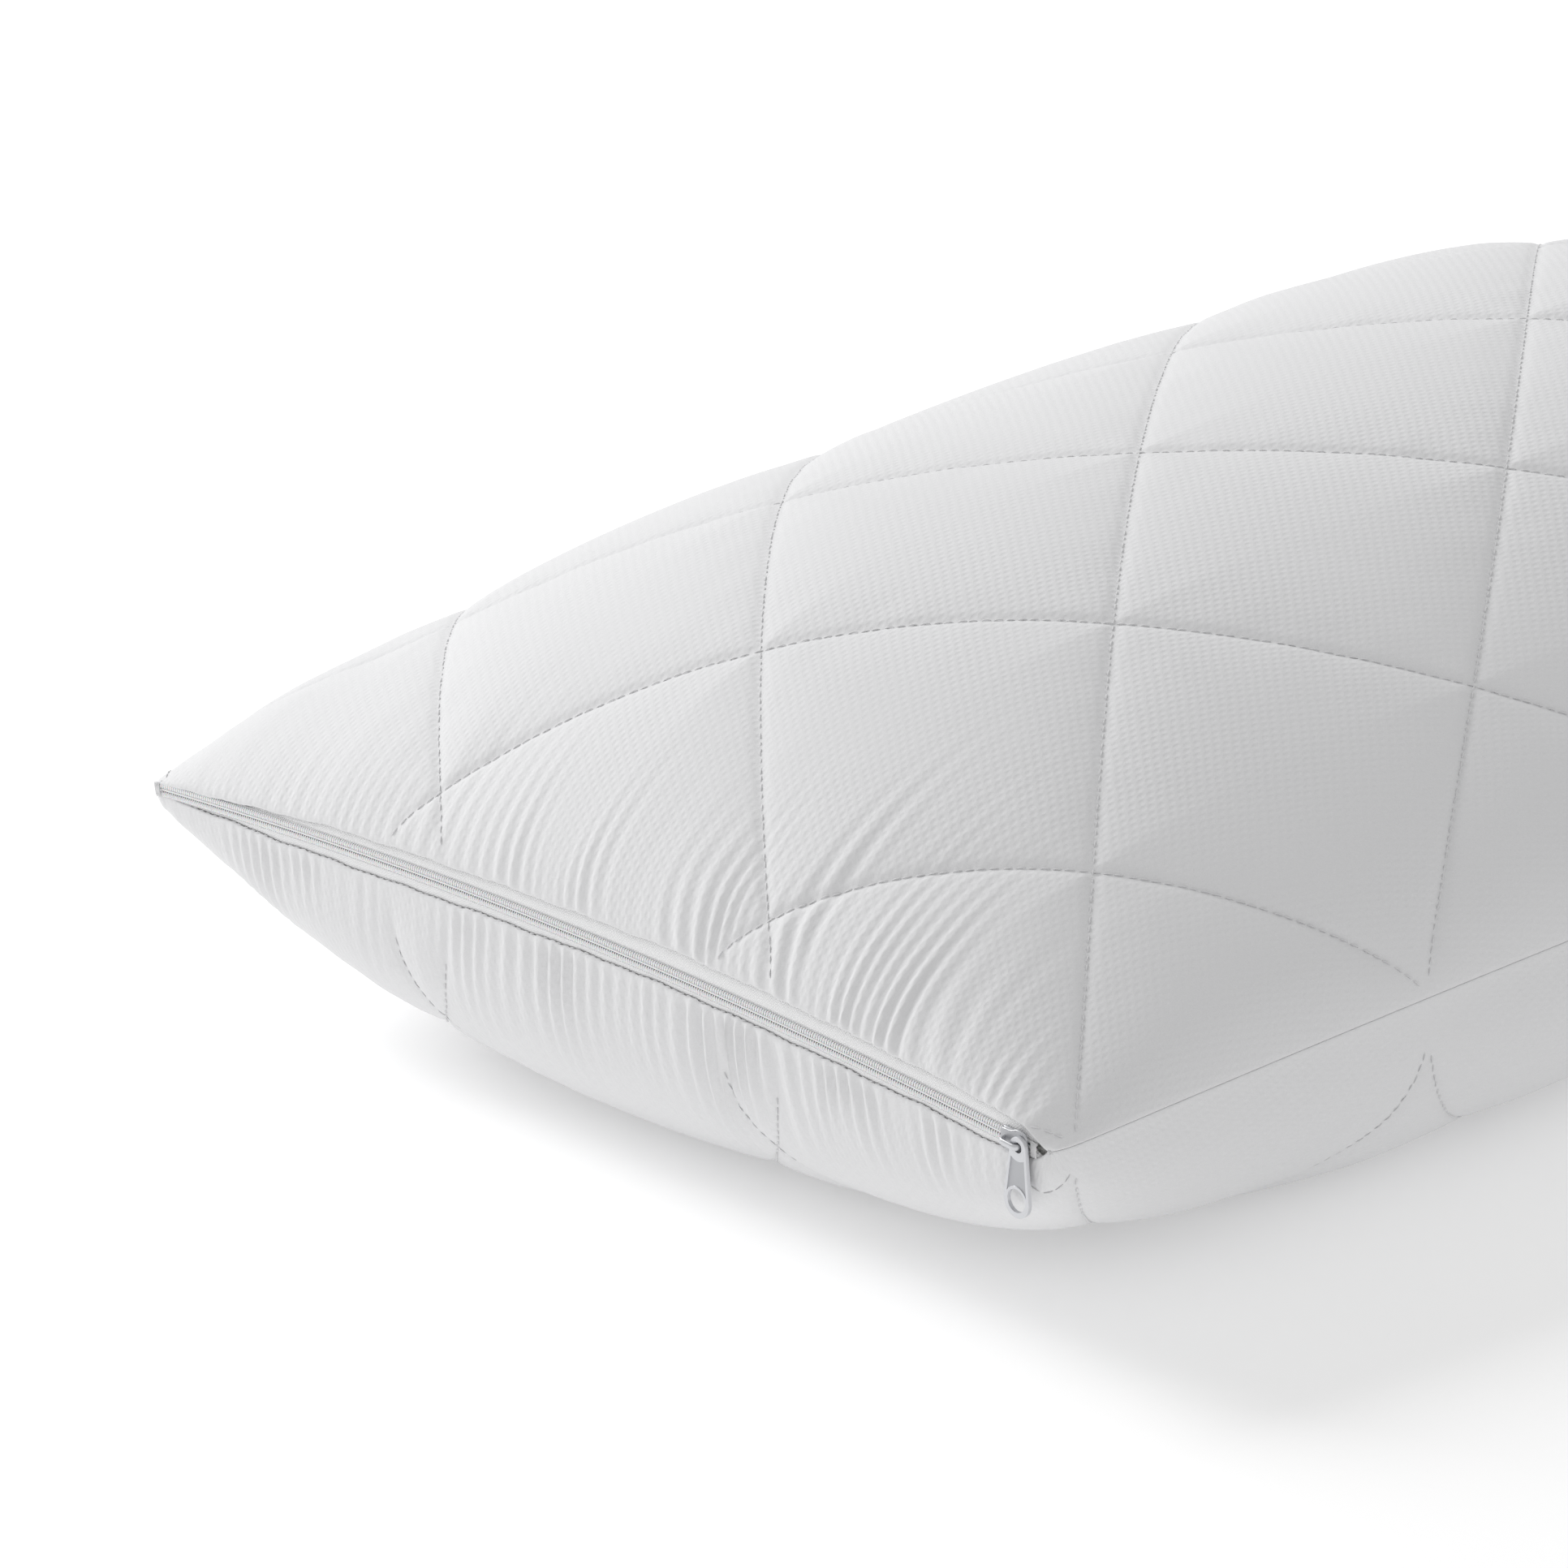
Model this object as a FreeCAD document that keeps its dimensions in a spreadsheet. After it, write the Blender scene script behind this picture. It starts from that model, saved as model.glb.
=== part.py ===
import FreeCAD, Part
import math
import os

import Sketcher

# A stuffed bed pillow in a quilted, zip-closed cover, in millimetres.
# +X runs across the pillow along the zip, +Y along its length away from the zip, +Z up.
# The origin is the centre of the flat patch that the pillow rests on.

doc = FreeCAD.newDocument("bed_pillow")

SIZES = (
    # name, value, meaning
    ("cover_width", 480.0, "seam to seam across the zip, stuffed"),
    ("cover_length", 696.0, "zip end to far end, stuffed"),
    ("pillow_height", 195.0, "floor to the crest of the top panel"),
    ("corner_height", 78.0, "floor to the seam at the four corners"),
    ("zip_crest_rise", 10.3, "how far the seam climbs from a corner to the middle of a short side"),
    ("side_rise", 4.6, "the same on a long side"),
    ("top_fullness", 0.7, "exponent of the dome over the seam: lower is squarer"),
    ("end_fullness", 4.2, "exponent that keeps the dome full up to the short ends"),
    ("under_depth", 120.0, "seam to the lowest point the bottom panel would reach with no floor"),
    ("under_fullness", 0.5, "exponent of the bottom panel under the seam"),
    ("face_thickness", 1.0, "knitted face fabric"),
    ("wadding_thickness", 4.0, "quilting wadding, compressed"),
    ("backing_thickness", 0.5, "backing cloth"),
    ("liner_thickness", 0.5, "inner pillow's cloth"),
    ("ply_gap", 0.3, "free space between two plies"),
    ("hem_inset", 2.6, "how much further in the wadding stops than the face fabric"),
    ("liner_slack", 2.4, "slack between the cover's seam and the inner pillow"),
    ("seam_gap", 0.6, "between the top and bottom plies at the closed sides"),
    ("zip_half_gap", 7.0, "zip centre line to either fabric edge"),
    ("zip_gap_fade", 12.0, "exponent that closes the zip gap along the long sides"),
    ("quilt_pitch_across", 166.7, "diamond, point to point across the pillow, in flat cloth"),
    ("quilt_pitch_along", 175.0, "diamond, point to point along the pillow, in flat cloth"),
    ("quilt_first_row", 15.1, "first row of diamond points from the zip edge, in flat cloth"),
    ("cloth_width", 500.0, "flat cover width"),
    ("cloth_length", 700.0, "flat cover length"),
    ("cloth_gather_across", 0.10, "share of the cloth's width that is taken up near the sides"),
    ("cloth_gather_along", 0.115, "the same along the length"),
    ("patch_margin", 5.0, "height at which the bottom panel's stitch lines stop"),
    ("thread_width", 0.8, "a line of quilting stitches"),
    ("thread_height", 0.4, "how far a stitch stands out"),
    ("thread_gap", 0.2, "between a stitch line and the fabric it lies on"),
    ("topstitch_inset", 2.0, "fabric edge to the row of stitches beside it"),
    ("topstitch_end", 18.0, "corner to the end of that row"),
    ("tape_width", 12.5, "one half of the zip's tape"),
    ("tape_thickness", 0.5, "tape"),
    ("tape_gap", 0.6, "between the hidden part of the tape and the face fabric over it"),
    ("tape_recess", 1.8, "tape's outer face behind the fabric's outer face"),
    ("tape_half_gap", 0.3, "zip centre line to the tape's inner edge"),
    ("zip_end_inset", 6.0, "corner to the end of tape and coil"),
    ("coil_width", 5.6, "both coils, closed"),
    ("coil_thickness", 1.6, "coil, across the tape"),
    ("coil_half_gap", 0.3, "zip centre line to each coil, so that the slider's wedge can pass"),
    ("coil_thread_width", 0.6, "row of stitches that holds a coil"),
    ("coil_thread_thickness", 0.2, "the same, across the tape"),
    ("coil_thread_offset", 2.3, "zip centre line to that row"),
    ("tack_length", 2.4, "bar tack over the coil's end, along the zip"),
    ("tack_thickness", 0.4, "the same, across the tape"),
    ("slider_length", 12.6, "slider, along the zip"),
    ("slider_nose_width", 10.2, "slider's wide end"),
    ("slider_tail_width", 7.4, "slider's narrow end"),
    ("slider_plate", 1.1, "thickness of each slider plate"),
    ("slider_clearance", 0.2, "between a slider plate and the chain"),
    ("slider_post_width", 0.44, "wedge between the plates that parts the coils"),
    ("slider_post_length", 1.4, "the same, along the zip"),
    ("slider_inset", 16.0, "corner to the slider's centre when closed"),
    ("bail_reach", 4.1, "slider centre to each leg of the bail"),
    ("bail_leg_radius", 0.9, "round leg of the bail"),
    ("bail_room", 2.0, "between the slider's plate and the bail's bar"),
    ("bail_bar", 1.2, "thickness of the bail's bar"),
    ("tab_thickness", 1.5, "pull tab"),
    ("tab_lift", 0.25, "between the slider's plate and the tab"),
    ("tab_running_gap", 0.08, "radial clearance of the tab on the bail's leg"),
    ("tab_length", 26.0, "bail leg to the tab's lower end"),
    ("tab_top_width", 7.6, "pull tab's upper end"),
    ("tab_foot_width", 12.4, "pull tab's lower end"),
    ("tab_hole_radius", 4.1, "ring hole at the lower end"),
    ("tab_panel_depth", 0.3, "recess in both faces of the tab"),
    ("tab_rim", 1.2, "rim around that recess"),
)

sheet = doc.addObject("Spreadsheet::Sheet", "Sizes")
for row, (name, number, meaning) in enumerate(SIZES, start=1):
    sheet.set(f"A{row}", name)
    sheet.set(f"B{row}", str(number))
    sheet.setAlias(f"B{row}", name)
    sheet.set(f"C{row}", meaning)
doc.recompute()


def size(name):
    """One cell of the sheet."""
    return float(sheet.get(name))


def value(expression):
    """The number that an expression over the sheet gives."""
    return float(sheet.evalExpression(expression))


# ---- the pillow's shape ----------------------------------------------------------------------

HALF_WIDTH = size("cover_width") / 2
HALF_LENGTH = size("cover_length") / 2
STATIONS = 31  # points that a soft surface is drawn through, each way

# How deep each ply lies behind the cover's outer face.
GAP = size("ply_gap")
WADDING_DEPTH = size("face_thickness") + GAP
BACKING_DEPTH = WADDING_DEPTH + size("wadding_thickness") + GAP
COVER_DEPTH = BACKING_DEPTH + size("backing_thickness")
LINER_DEPTH = COVER_DEPTH + GAP
LINER_HEM = size("hem_inset") + size("liner_slack")
FILLING_DEPTH = LINER_DEPTH + size("liner_thickness") + GAP
TAPE_DEPTH = size("face_thickness") + size("tape_gap")


def seam_height(x, y):
    """Height of the seam that the top and bottom panels share, carried inwards as well."""
    across = 1 - min(abs(x) / HALF_WIDTH, 1) ** 2
    along = 1 - min(abs(y) / HALF_LENGTH, 1) ** 2
    return size("corner_height") + size("zip_crest_rise") * across + size("side_rise") * along


def half_gap(y, depth):
    """Half the gap between top and bottom plies: wide at the zip, closed along the sides."""
    closed = size("seam_gap") / 2
    if depth >= LINER_DEPTH:
        return closed  # the inner pillow has no zip
    towards_zip = max(0, min(-y / HALF_LENGTH, 1)) ** size("zip_gap_fade")
    return closed + (size("zip_half_gap") - closed) * towards_zip


def bulge(x, y, inset, fullness):
    """How far a panel has swelled at a place in plan: 0 at its seam, 1 in the middle."""
    across = min(abs(x) / (HALF_WIDTH - inset), 1)
    along = min(abs(y) / (HALF_LENGTH - inset), 1)
    return max((1 - across**2) * (1 - along ** size("end_fullness")), 0) ** fullness


def top_point(x, y, depth, hem):
    """A surface of the top panel, depth behind the cover's outer face and hem short of its edge."""
    crest = size("pillow_height") - seam_height(0, 0) - size("seam_gap") / 2 - depth
    rise = crest * bulge(x, y, depth + hem, size("top_fullness"))
    return FreeCAD.Vector(x, y, seam_height(x, y) + half_gap(y, depth) + rise)


def bottom_point(x, y, depth, hem):
    """The same for the bottom panel, before the floor flattens it."""
    fall = (size("under_depth") - depth) * bulge(x, y, depth + hem, size("under_fullness"))
    return FreeCAD.Vector(x, y, seam_height(x, y) - half_gap(y, depth) - fall)


# ---- surfaces and solids ---------------------------------------------------------------------


def crowded(count):
    """Numbers from -1 to 1 that crowd towards both ends, where the cloth turns over."""
    return [math.sin(math.pi * (index / (count - 1) - 0.5)) for index in range(count)]


def panel(surface, depth, hem):
    """A face through a grid of points of one panel surface, and its four sides."""
    wide, deep = HALF_WIDTH - depth - hem, HALF_LENGTH - depth - hem
    rows = []
    for across in crowded(STATIONS):
        rows.append([surface(across * wide, along * deep, depth, hem) for along in crowded(STATIONS)])
    sheet_of_points = Part.BSplineSurface()
    sheet_of_points.interpolate(rows)
    first, last, low, high = sheet_of_points.bounds()
    curves = (
        sheet_of_points.uIso(first),
        sheet_of_points.vIso(high),
        sheet_of_points.uIso(last),
        sheet_of_points.vIso(low),
    )
    return sheet_of_points.toShape(), [curve.toShape() for curve in curves]


def closed_solid(faces):
    """Sews faces that share their sides into one solid."""
    shell = Part.makeCompound(faces)
    shell.sewShape(0.02)
    solid = Part.makeSolid(shell.Shells[0])
    if solid.Volume < 0:
        solid.reverse()
    return solid


def bands(first, second):
    """The four narrow faces that join two loops of sides."""
    return [Part.makeRuledSurface(one, other) for one, other in zip(first, second)]


def bowl(depth, hem):
    """One surface of the bottom panel: its wall down to a level floor, the floor, and four sides."""
    under, sides = panel(bottom_point, depth, hem)
    slab = Part.makeBox(2 * HALF_WIDTH, 2 * HALF_LENGTH, size("under_depth"))
    slab.translate(FreeCAD.Vector(-HALF_WIDTH, -HALF_LENGTH, depth - size("under_depth")))
    wall = under.cut(slab).Faces[0]
    foot = Part.Wire(Part.__sortEdges__([edge for edge in wall.Edges if edge.BoundBox.ZMax < depth + 0.01]))
    level = Part.Plane(FreeCAD.Vector(0, 0, depth), FreeCAD.Vector(0, 0, 1))
    return [wall, Part.Face(level, foot)], sides


def top_ply(depth, hem, thickness):
    """A ply of the top panel: two nested domes closed at the rim."""
    outer, outer_sides = panel(top_point, depth, hem)
    inner, inner_sides = panel(top_point, depth + thickness, hem)
    return closed_solid([outer, inner] + bands(outer_sides, inner_sides))


def bottom_ply(depth, hem, thickness):
    """A ply of the bottom panel: two nested bowls closed at the rim."""
    outer, outer_sides = bowl(depth, hem)
    inner, inner_sides = bowl(depth + thickness, hem)
    return closed_solid(outer + inner + bands(outer_sides, inner_sides))


def bar(corners):
    """A solid between long edges, each drawn through its own points, with flat ends."""
    edges = []
    for points in corners:
        curve = Part.BSplineCurve()
        curve.interpolate(points)
        edges.append(curve.toShape())
    faces = [Part.makeRuledSurface(edges[index - 1], edges[index]) for index in range(len(edges))]
    for end in (0, -1):
        loop = [points[end] for points in corners]
        faces.append(Part.Face(Part.makePolygon(loop + [loop[0]])))
    return closed_solid(faces)


def soft_piece(label, shape):
    """A sub-part whose surfaces are doubly curved."""
    piece = doc.addObject("Part::Feature", label)
    piece.Label = label
    piece.Shape = shape
    return piece


# ---- the plies, from the outside in ----------------------------------------------------------


def cover_plies():
    """Face fabric, wadding and backing of both quilted panels."""
    plies = (
        ("face", 0, 0, size("face_thickness")),
        ("wadding", WADDING_DEPTH, size("hem_inset"), size("wadding_thickness")),
        ("backing", BACKING_DEPTH, size("hem_inset"), size("backing_thickness")),
    )
    for name, depth, hem, thickness in plies:
        soft_piece(f"cover_top_{name}", top_ply(depth, hem, thickness))
        soft_piece(f"cover_bottom_{name}", bottom_ply(depth, hem, thickness))


def inner_pillow():
    """The liner's two cloths and the fibre filling that they hold."""
    soft_piece("liner_top", top_ply(LINER_DEPTH, LINER_HEM, size("liner_thickness")))
    soft_piece("liner_bottom", bottom_ply(LINER_DEPTH, LINER_HEM, size("liner_thickness")))
    roof, roof_sides = panel(top_point, FILLING_DEPTH, LINER_HEM)
    base, base_sides = bowl(FILLING_DEPTH, LINER_HEM)
    soft_piece("filling", closed_solid([roof] + base + bands(roof_sides, base_sides)))


def seam_threads():
    """The stitching just inside the three sewn sides of the cover, and around the liner."""
    inside_cover = COVER_DEPTH + size("hem_inset") + GAP + size("thread_width") / 2
    around_liner = LINER_DEPTH + LINER_HEM - GAP - size("thread_width") / 2
    for label, inset, sides in (
        ("side_seam_thread", inside_cover, ("left", "right", "far")),
        ("liner_seam_thread", around_liner, ("left", "right", "far", "zip")),
    ):
        lines = [seam_line(side, inset) for side in sides]
        soft_piece(label, Part.makeCompound(lines))


def seam_line(side, inset):
    """A thread along one side of the seam, short of the corners."""
    wide, deep = HALF_WIDTH - inset, HALF_LENGTH - inset
    steps = crowded(STATIONS)[2:-2]
    across = FreeCAD.Vector(size("thread_width") / 2, 0, 0)
    if side in ("far", "zip"):
        across = FreeCAD.Vector(0, size("thread_width") / 2, 0)
    places = {
        "left": [(-wide, step * deep) for step in steps],
        "right": [(wide, step * deep) for step in steps],
        "far": [(step * wide, deep) for step in steps],
        "zip": [(step * wide, -deep) for step in steps],
    }[side]
    rise = FreeCAD.Vector(0, 0, size("seam_gap") / 2)
    middles = [FreeCAD.Vector(x, y, seam_height(x, y)) for x, y in places]
    corners = (-across - rise, across - rise, across + rise, rise - across)
    return bar([[middle + corner for middle in middles] for corner in corners])


# ---- quilting --------------------------------------------------------------------------------


def plan_place(u, v):
    """Where a point of the flat cloth lies in plan once the pillow is stuffed."""
    across = 2 * u / size("cloth_width") - 1
    along = 2 * v / size("cloth_length") - 1
    gather_x, gather_y = size("cloth_gather_across"), size("cloth_gather_along")
    x = HALF_WIDTH * ((1 + gather_x) * across - gather_x * across**3)
    y = HALF_LENGTH * ((1 + gather_y) * along - gather_y * along**3)
    return x, y


def quilt_lines(direction):
    """The diamond pattern's straight lines that lean one way, as runs of points in plan."""
    margin = 12.0
    slope = size("quilt_pitch_along") / size("quilt_pitch_across")
    rows = math.ceil(size("cloth_length") / size("quilt_pitch_along")) + 3
    lines = []
    for row in range(-rows, rows + 1):
        start = size("quilt_first_row") + row * size("quilt_pitch_along")
        places = []
        for step in range(61):
            u = size("cloth_width") * step / 60
            v = start + direction * slope * (u - size("quilt_pitch_across"))
            x, y = plan_place(u, v)
            inside = abs(x) < HALF_WIDTH - margin and abs(y) < HALF_LENGTH - margin
            if inside and 0 < v < size("cloth_length"):
                places.append((x, y))
        if len(places) >= 6:
            lines.append(places)
    return lines


def bead(places, surface, outward, lift):
    """A line of stitches over a panel: outward is 1 on the top and -1 below."""
    step = 0.5
    corners = [[], [], [], []]
    for index, (x, y) in enumerate(places):
        along = surface(*places[min(index + 1, len(places) - 1)]) - surface(*places[max(index - 1, 0)])
        slope_x = surface(x + step, y) - surface(x - step, y)
        slope_y = surface(x, y + step) - surface(x, y - step)
        out = slope_x.cross(slope_y).normalize() * outward
        across = out.cross(along).normalize() * (size("thread_width") / 2)
        base = surface(x, y) + out * lift
        tip = base + out * size("thread_height")
        for corner, point in zip(corners, (base - across, base + across, tip + across, tip - across)):
            corner.append(point)
    return bar(corners)


def over_top(x, y):
    """The top panel's outer face."""
    return top_point(x, y, 0, 0)


def over_bottom(x, y):
    """The bottom panel's outer face."""
    return bottom_point(x, y, 0, 0)


def quilting_threads():
    """The lines of stitches on both panels; below, they stop where the resting patch begins."""
    top = []
    bottom = []
    under = size("thread_gap")
    over = under + size("thread_height") + size("thread_gap")
    for direction, lift in ((1, under), (-1, over)):
        for line in quilt_lines(direction):
            top.append(bead(line, over_top, 1, lift))
            for run in runs_above(line, over_bottom, size("patch_margin")):
                bottom.append(bead(run, over_bottom, -1, lift))
    soft_piece("quilting_thread_top", Part.makeCompound(top))
    soft_piece("quilting_thread_bottom", Part.makeCompound(bottom))


def runs_above(places, surface, floor):
    """Splits a line into the runs of it that lie higher than floor."""
    runs = [[]]
    for place in places:
        if surface(*place).z > floor:
            runs[-1].append(place)
        elif runs[-1]:
            runs.append([])
    return [run for run in runs if len(run) >= 4]


# ---- the zip ---------------------------------------------------------------------------------

# The zip lies on an arc in an upright plane. Its pieces turn about the arc's axis, far below.
ZIP_RADIUS = "((Sizes.cover_width / 2) ^ 2 + Sizes.zip_crest_rise ^ 2) / (2 * Sizes.zip_crest_rise)"
ZIP_CREST = "(Sizes.corner_height + Sizes.zip_crest_rise)"
FABRIC_FACE = "(-Sizes.cover_length / 2)"
TAPE_FACE = f"({FABRIC_FACE} + Sizes.tape_recess)"
COIL_FACE = f"({TAPE_FACE} - Sizes.coil_thickness)"
PLATE_FACE = f"({COIL_FACE} - Sizes.coil_thread_thickness - Sizes.slider_clearance)"
CHAIN_REACH = f"(asin((Sizes.cover_width / 2 - Sizes.zip_end_inset) / ({ZIP_RADIUS})))"
SLIDER_TURN = f"(asin((Sizes.cover_width / 2 - Sizes.slider_inset) / ({ZIP_RADIUS})))"


def body_at_zip_axis(label, turn=None):
    """A body whose origin is on the arc's axis, turned along the zip when a turn is given."""
    body = doc.addObject("PartDesign::Body", label)
    body.Label = label
    body.setExpression("Placement.Base.z", f"{ZIP_CREST} - {ZIP_RADIUS}")
    if turn:
        body.Placement.Rotation = FreeCAD.Rotation(FreeCAD.Vector(0, 1, 0), 1)
        body.setExpression("Placement.Rotation.Angle", turn)
    return body


def plane_of(body, role):
    """One of the body's own origin planes."""
    return next(item for item in body.Origin.OriginFeatures if item.Role == role)


def sketch_on(body, role, name, offset=None):
    """A sketch on an origin plane, moved along the plane's normal when an offset is given."""
    sketch = body.newObject("Sketcher::SketchObject", name)
    sketch.AttachmentSupport = [(plane_of(body, role), "")]
    sketch.MapMode = "FlatFace"
    if offset:
        sketch.setExpression("AttachmentOffset.Base.z", offset)
    return sketch


def fix(sketch, kind, geometry, point, expression):
    """Binds one coordinate of a point to an expression."""
    number = sketch.addConstraint(Sketcher.Constraint(kind, -1, 1, geometry, point, value(expression)))
    sketch.setExpression(f"Constraints[{number}]", expression)


def outline(sketch, corners):
    """A closed outline of straight edges; each corner is two expressions."""
    points = [FreeCAD.Vector(value(x), value(y), 0) for x, y in corners]
    count = len(points)
    first = sketch.GeometryCount
    for index in range(count):
        sketch.addGeometry(Part.LineSegment(points[index], points[(index + 1) % count]), False)
    for index, (x, y) in enumerate(corners):
        following = first + (index + 1) % count
        sketch.addConstraint(Sketcher.Constraint("Coincident", first + index, 2, following, 1))
        fix(sketch, "DistanceX", first + index, 1, x)
        fix(sketch, "DistanceY", first + index, 1, y)


def circle(sketch, x, y, radius):
    """A circle with its centre and radius bound."""
    centre = FreeCAD.Vector(value(x), value(y), 0)
    index = sketch.addGeometry(Part.Circle(centre, FreeCAD.Vector(0, 0, 1), value(radius)), False)
    fix(sketch, "DistanceX", index, 3, x)
    fix(sketch, "DistanceY", index, 3, y)
    number = sketch.addConstraint(Sketcher.Constraint("Radius", index, value(radius)))
    sketch.setExpression(f"Constraints[{number}]", radius)


def zip_strip(label, y_low, y_high, z_low, z_high):
    """A strip of constant section that follows the zip's arc from end to end."""
    body = body_at_zip_axis(label)
    sketch = sketch_on(body, "YZ_Plane", f"{label}_section")
    low, high = f"{ZIP_RADIUS} + {z_low}", f"{ZIP_RADIUS} + {z_high}"
    outline(sketch, ((y_low, low), (y_high, low), (y_high, high), (y_low, high)))
    turned = body.newObject("PartDesign::Revolution", f"{label}_sweep")
    turned.Profile = sketch
    turned.ReferenceAxis = (sketch, ["H_Axis"])
    turned.Midplane = True
    turned.setExpression("Angle", f"2 * {CHAIN_REACH}")
    return body


def coils():
    """The two interlocked coils and the rows of thread that sew them to their tapes."""
    thread_face = f"{COIL_FACE} - Sizes.coil_thread_thickness"
    near, far = "Sizes.coil_half_gap", "Sizes.coil_width / 2"
    row_near = "(Sizes.coil_thread_offset - Sizes.coil_thread_width / 2)"
    row_far = "(Sizes.coil_thread_offset + Sizes.coil_thread_width / 2)"
    zip_strip("zipper_coil_upper", COIL_FACE, TAPE_FACE, near, far)
    zip_strip("zipper_coil_lower", COIL_FACE, TAPE_FACE, f"-({far})", f"-{near}")
    zip_strip("coil_thread_upper", thread_face, COIL_FACE, row_near, row_far)
    zip_strip("coil_thread_lower", thread_face, COIL_FACE, f"-{row_far}", f"-{row_near}")


def zip_height(x):
    """Height of the zip's centre line."""
    radius = value(ZIP_RADIUS)
    return value(ZIP_CREST) - radius + math.sqrt(radius**2 - x**2)


def walk_inwards(x, surface, start, length):
    """The y that lies length along a surface from y = start, at one x."""
    step = 0.1
    y = start
    walked = 0.0
    while walked < length:
        stride = (surface(x, y + step) - surface(x, y)).Length
        share = min(1, (length - walked) / stride)
        walked += stride
        y += step * share
    return y


def tape(label, upward, surface):
    """One half of the tape: flat beside the coil, then inside the cover along the face fabric."""
    outer_y = value(TAPE_FACE)
    inner_y = outer_y + size("tape_thickness")
    hidden = size("tape_width") - size("zip_half_gap")
    start = -HALF_LENGTH + TAPE_DEPTH
    reach = HALF_WIDTH - size("zip_end_inset")
    corners = [[], [], [], [], [], []]
    for step in crowded(STATIONS):
        x = step * reach
        edge = zip_height(x) + upward * size("tape_half_gap")
        rim = zip_height(x) + upward * size("zip_half_gap")
        tail = surface(x, walk_inwards(x, surface, start, hidden))
        slope = (tail - FreeCAD.Vector(x, outer_y, rim)).normalize()
        inward = FreeCAD.Vector(0, abs(slope.z), -upward * slope.y) * size("tape_thickness")
        bend = rim - upward * slope.y * size("tape_thickness")
        points = (
            FreeCAD.Vector(x, outer_y, edge),
            FreeCAD.Vector(x, outer_y, rim),
            tail,
            tail + inward,
            FreeCAD.Vector(x, inner_y, bend),
            FreeCAD.Vector(x, inner_y, edge),
        )
        for corner, point in zip(corners, points):
            corner.append(point)
    soft_piece(label, bar(corners))


def tapes():
    """The two halves of the tape, each under the face fabric of its own panel."""

    def under_top(x, y):
        return top_point(x, y, TAPE_DEPTH, 0)

    def under_bottom(x, y):
        return bottom_point(x, y, TAPE_DEPTH, 0)

    tape("zipper_tape_upper", 1, under_top)
    tape("zipper_tape_lower", -1, under_bottom)


def zip_topstitch():
    """The row of stitches beside each fabric edge that holds the fabric to the tape."""
    reach = HALF_WIDTH - size("topstitch_end")
    start = -HALF_LENGTH
    for label, surface in (("zip_topstitch_upper", over_top), ("zip_topstitch_lower", over_bottom)):
        corners = [[], [], [], []]
        for step in crowded(STATIONS):
            x = step * reach
            low = surface(x, walk_inwards(x, surface, start, size("topstitch_inset")))
            far = size("topstitch_inset") + size("thread_width")
            high = surface(x, walk_inwards(x, surface, start, far))
            rise = (high - low).normalize()
            out = FreeCAD.Vector(0, -abs(rise.z), rise.y * math.copysign(1, rise.z))
            base = out * size("thread_gap")
            tip = base + out * size("thread_height")
            for corner, point in zip(corners, (low + base, high + base, high + tip, low + tip)):
                corner.append(point)
        soft_piece(label, bar(corners))


def zip_end_tacks():
    """A bar tack over each end of the coil, outside the slider's travel."""
    thread_face = f"{COIL_FACE} - Sizes.coil_thread_thickness"
    tack_face = f"{thread_face} - Sizes.tack_thickness"
    turn = f"asin((Sizes.cover_width / 2 - Sizes.zip_end_inset - Sizes.tack_length / 2) / ({ZIP_RADIUS}))"
    for name, direction in (("open", "-"), ("closed", "")):
        body = body_at_zip_axis(f"zip_end_tack_{name}", f"{direction}{turn}")
        pad(
            body,
            "XZ_Plane",
            "bar",
            (
                ("-Sizes.tack_length / 2", f"{ZIP_RADIUS} - Sizes.coil_width / 2"),
                ("Sizes.tack_length / 2", f"{ZIP_RADIUS} - Sizes.coil_width / 2"),
                ("Sizes.tack_length / 2", f"{ZIP_RADIUS} + Sizes.coil_width / 2"),
                ("-Sizes.tack_length / 2", f"{ZIP_RADIUS} + Sizes.coil_width / 2"),
            ),
            tack_face,
            thread_face,
        )


def pad(body, role, name, corners, y_low, y_high):
    """A prism between two heights along Y, from an outline in the body's XZ plane."""
    sketch = sketch_on(body, role, f"{body.Label}_{name}_outline", f"-({y_high})")
    outline(sketch, corners)
    return raised(body, sketch, name, y_low, y_high)


def raised(body, sketch, name, y_low, y_high):
    """Pads a sketch of the XZ plane outwards, from y_high to y_low."""
    prism = body.newObject("PartDesign::Pad", f"{body.Label}_{name}")
    prism.Profile = sketch
    prism.setExpression("Length", f"({y_high}) - ({y_low})")
    return prism


# ---- slider and pull tab ---------------------------------------------------------------------


def slider_outline(length, nose, tail):
    """The slider's plan: a wide nose, straight shoulders, then a taper to the tail."""
    middle = ZIP_RADIUS
    half = f"{length} / 2"
    shoulder = f"{length} / 8"
    return (
        (f"-{half}", f"{middle} - {tail} / 2"),
        (f"{shoulder}", f"{middle} - {nose} / 2"),
        (f"{half}", f"{middle} - {nose} / 2 * 0.8"),
        (f"{half}", f"{middle} + {nose} / 2 * 0.8"),
        (f"{shoulder}", f"{middle} + {nose} / 2"),
        (f"-{half}", f"{middle} + {tail} / 2"),
    )


INNER_PLATE = f"({TAPE_FACE} + Sizes.tape_thickness + Sizes.slider_clearance)"


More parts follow.
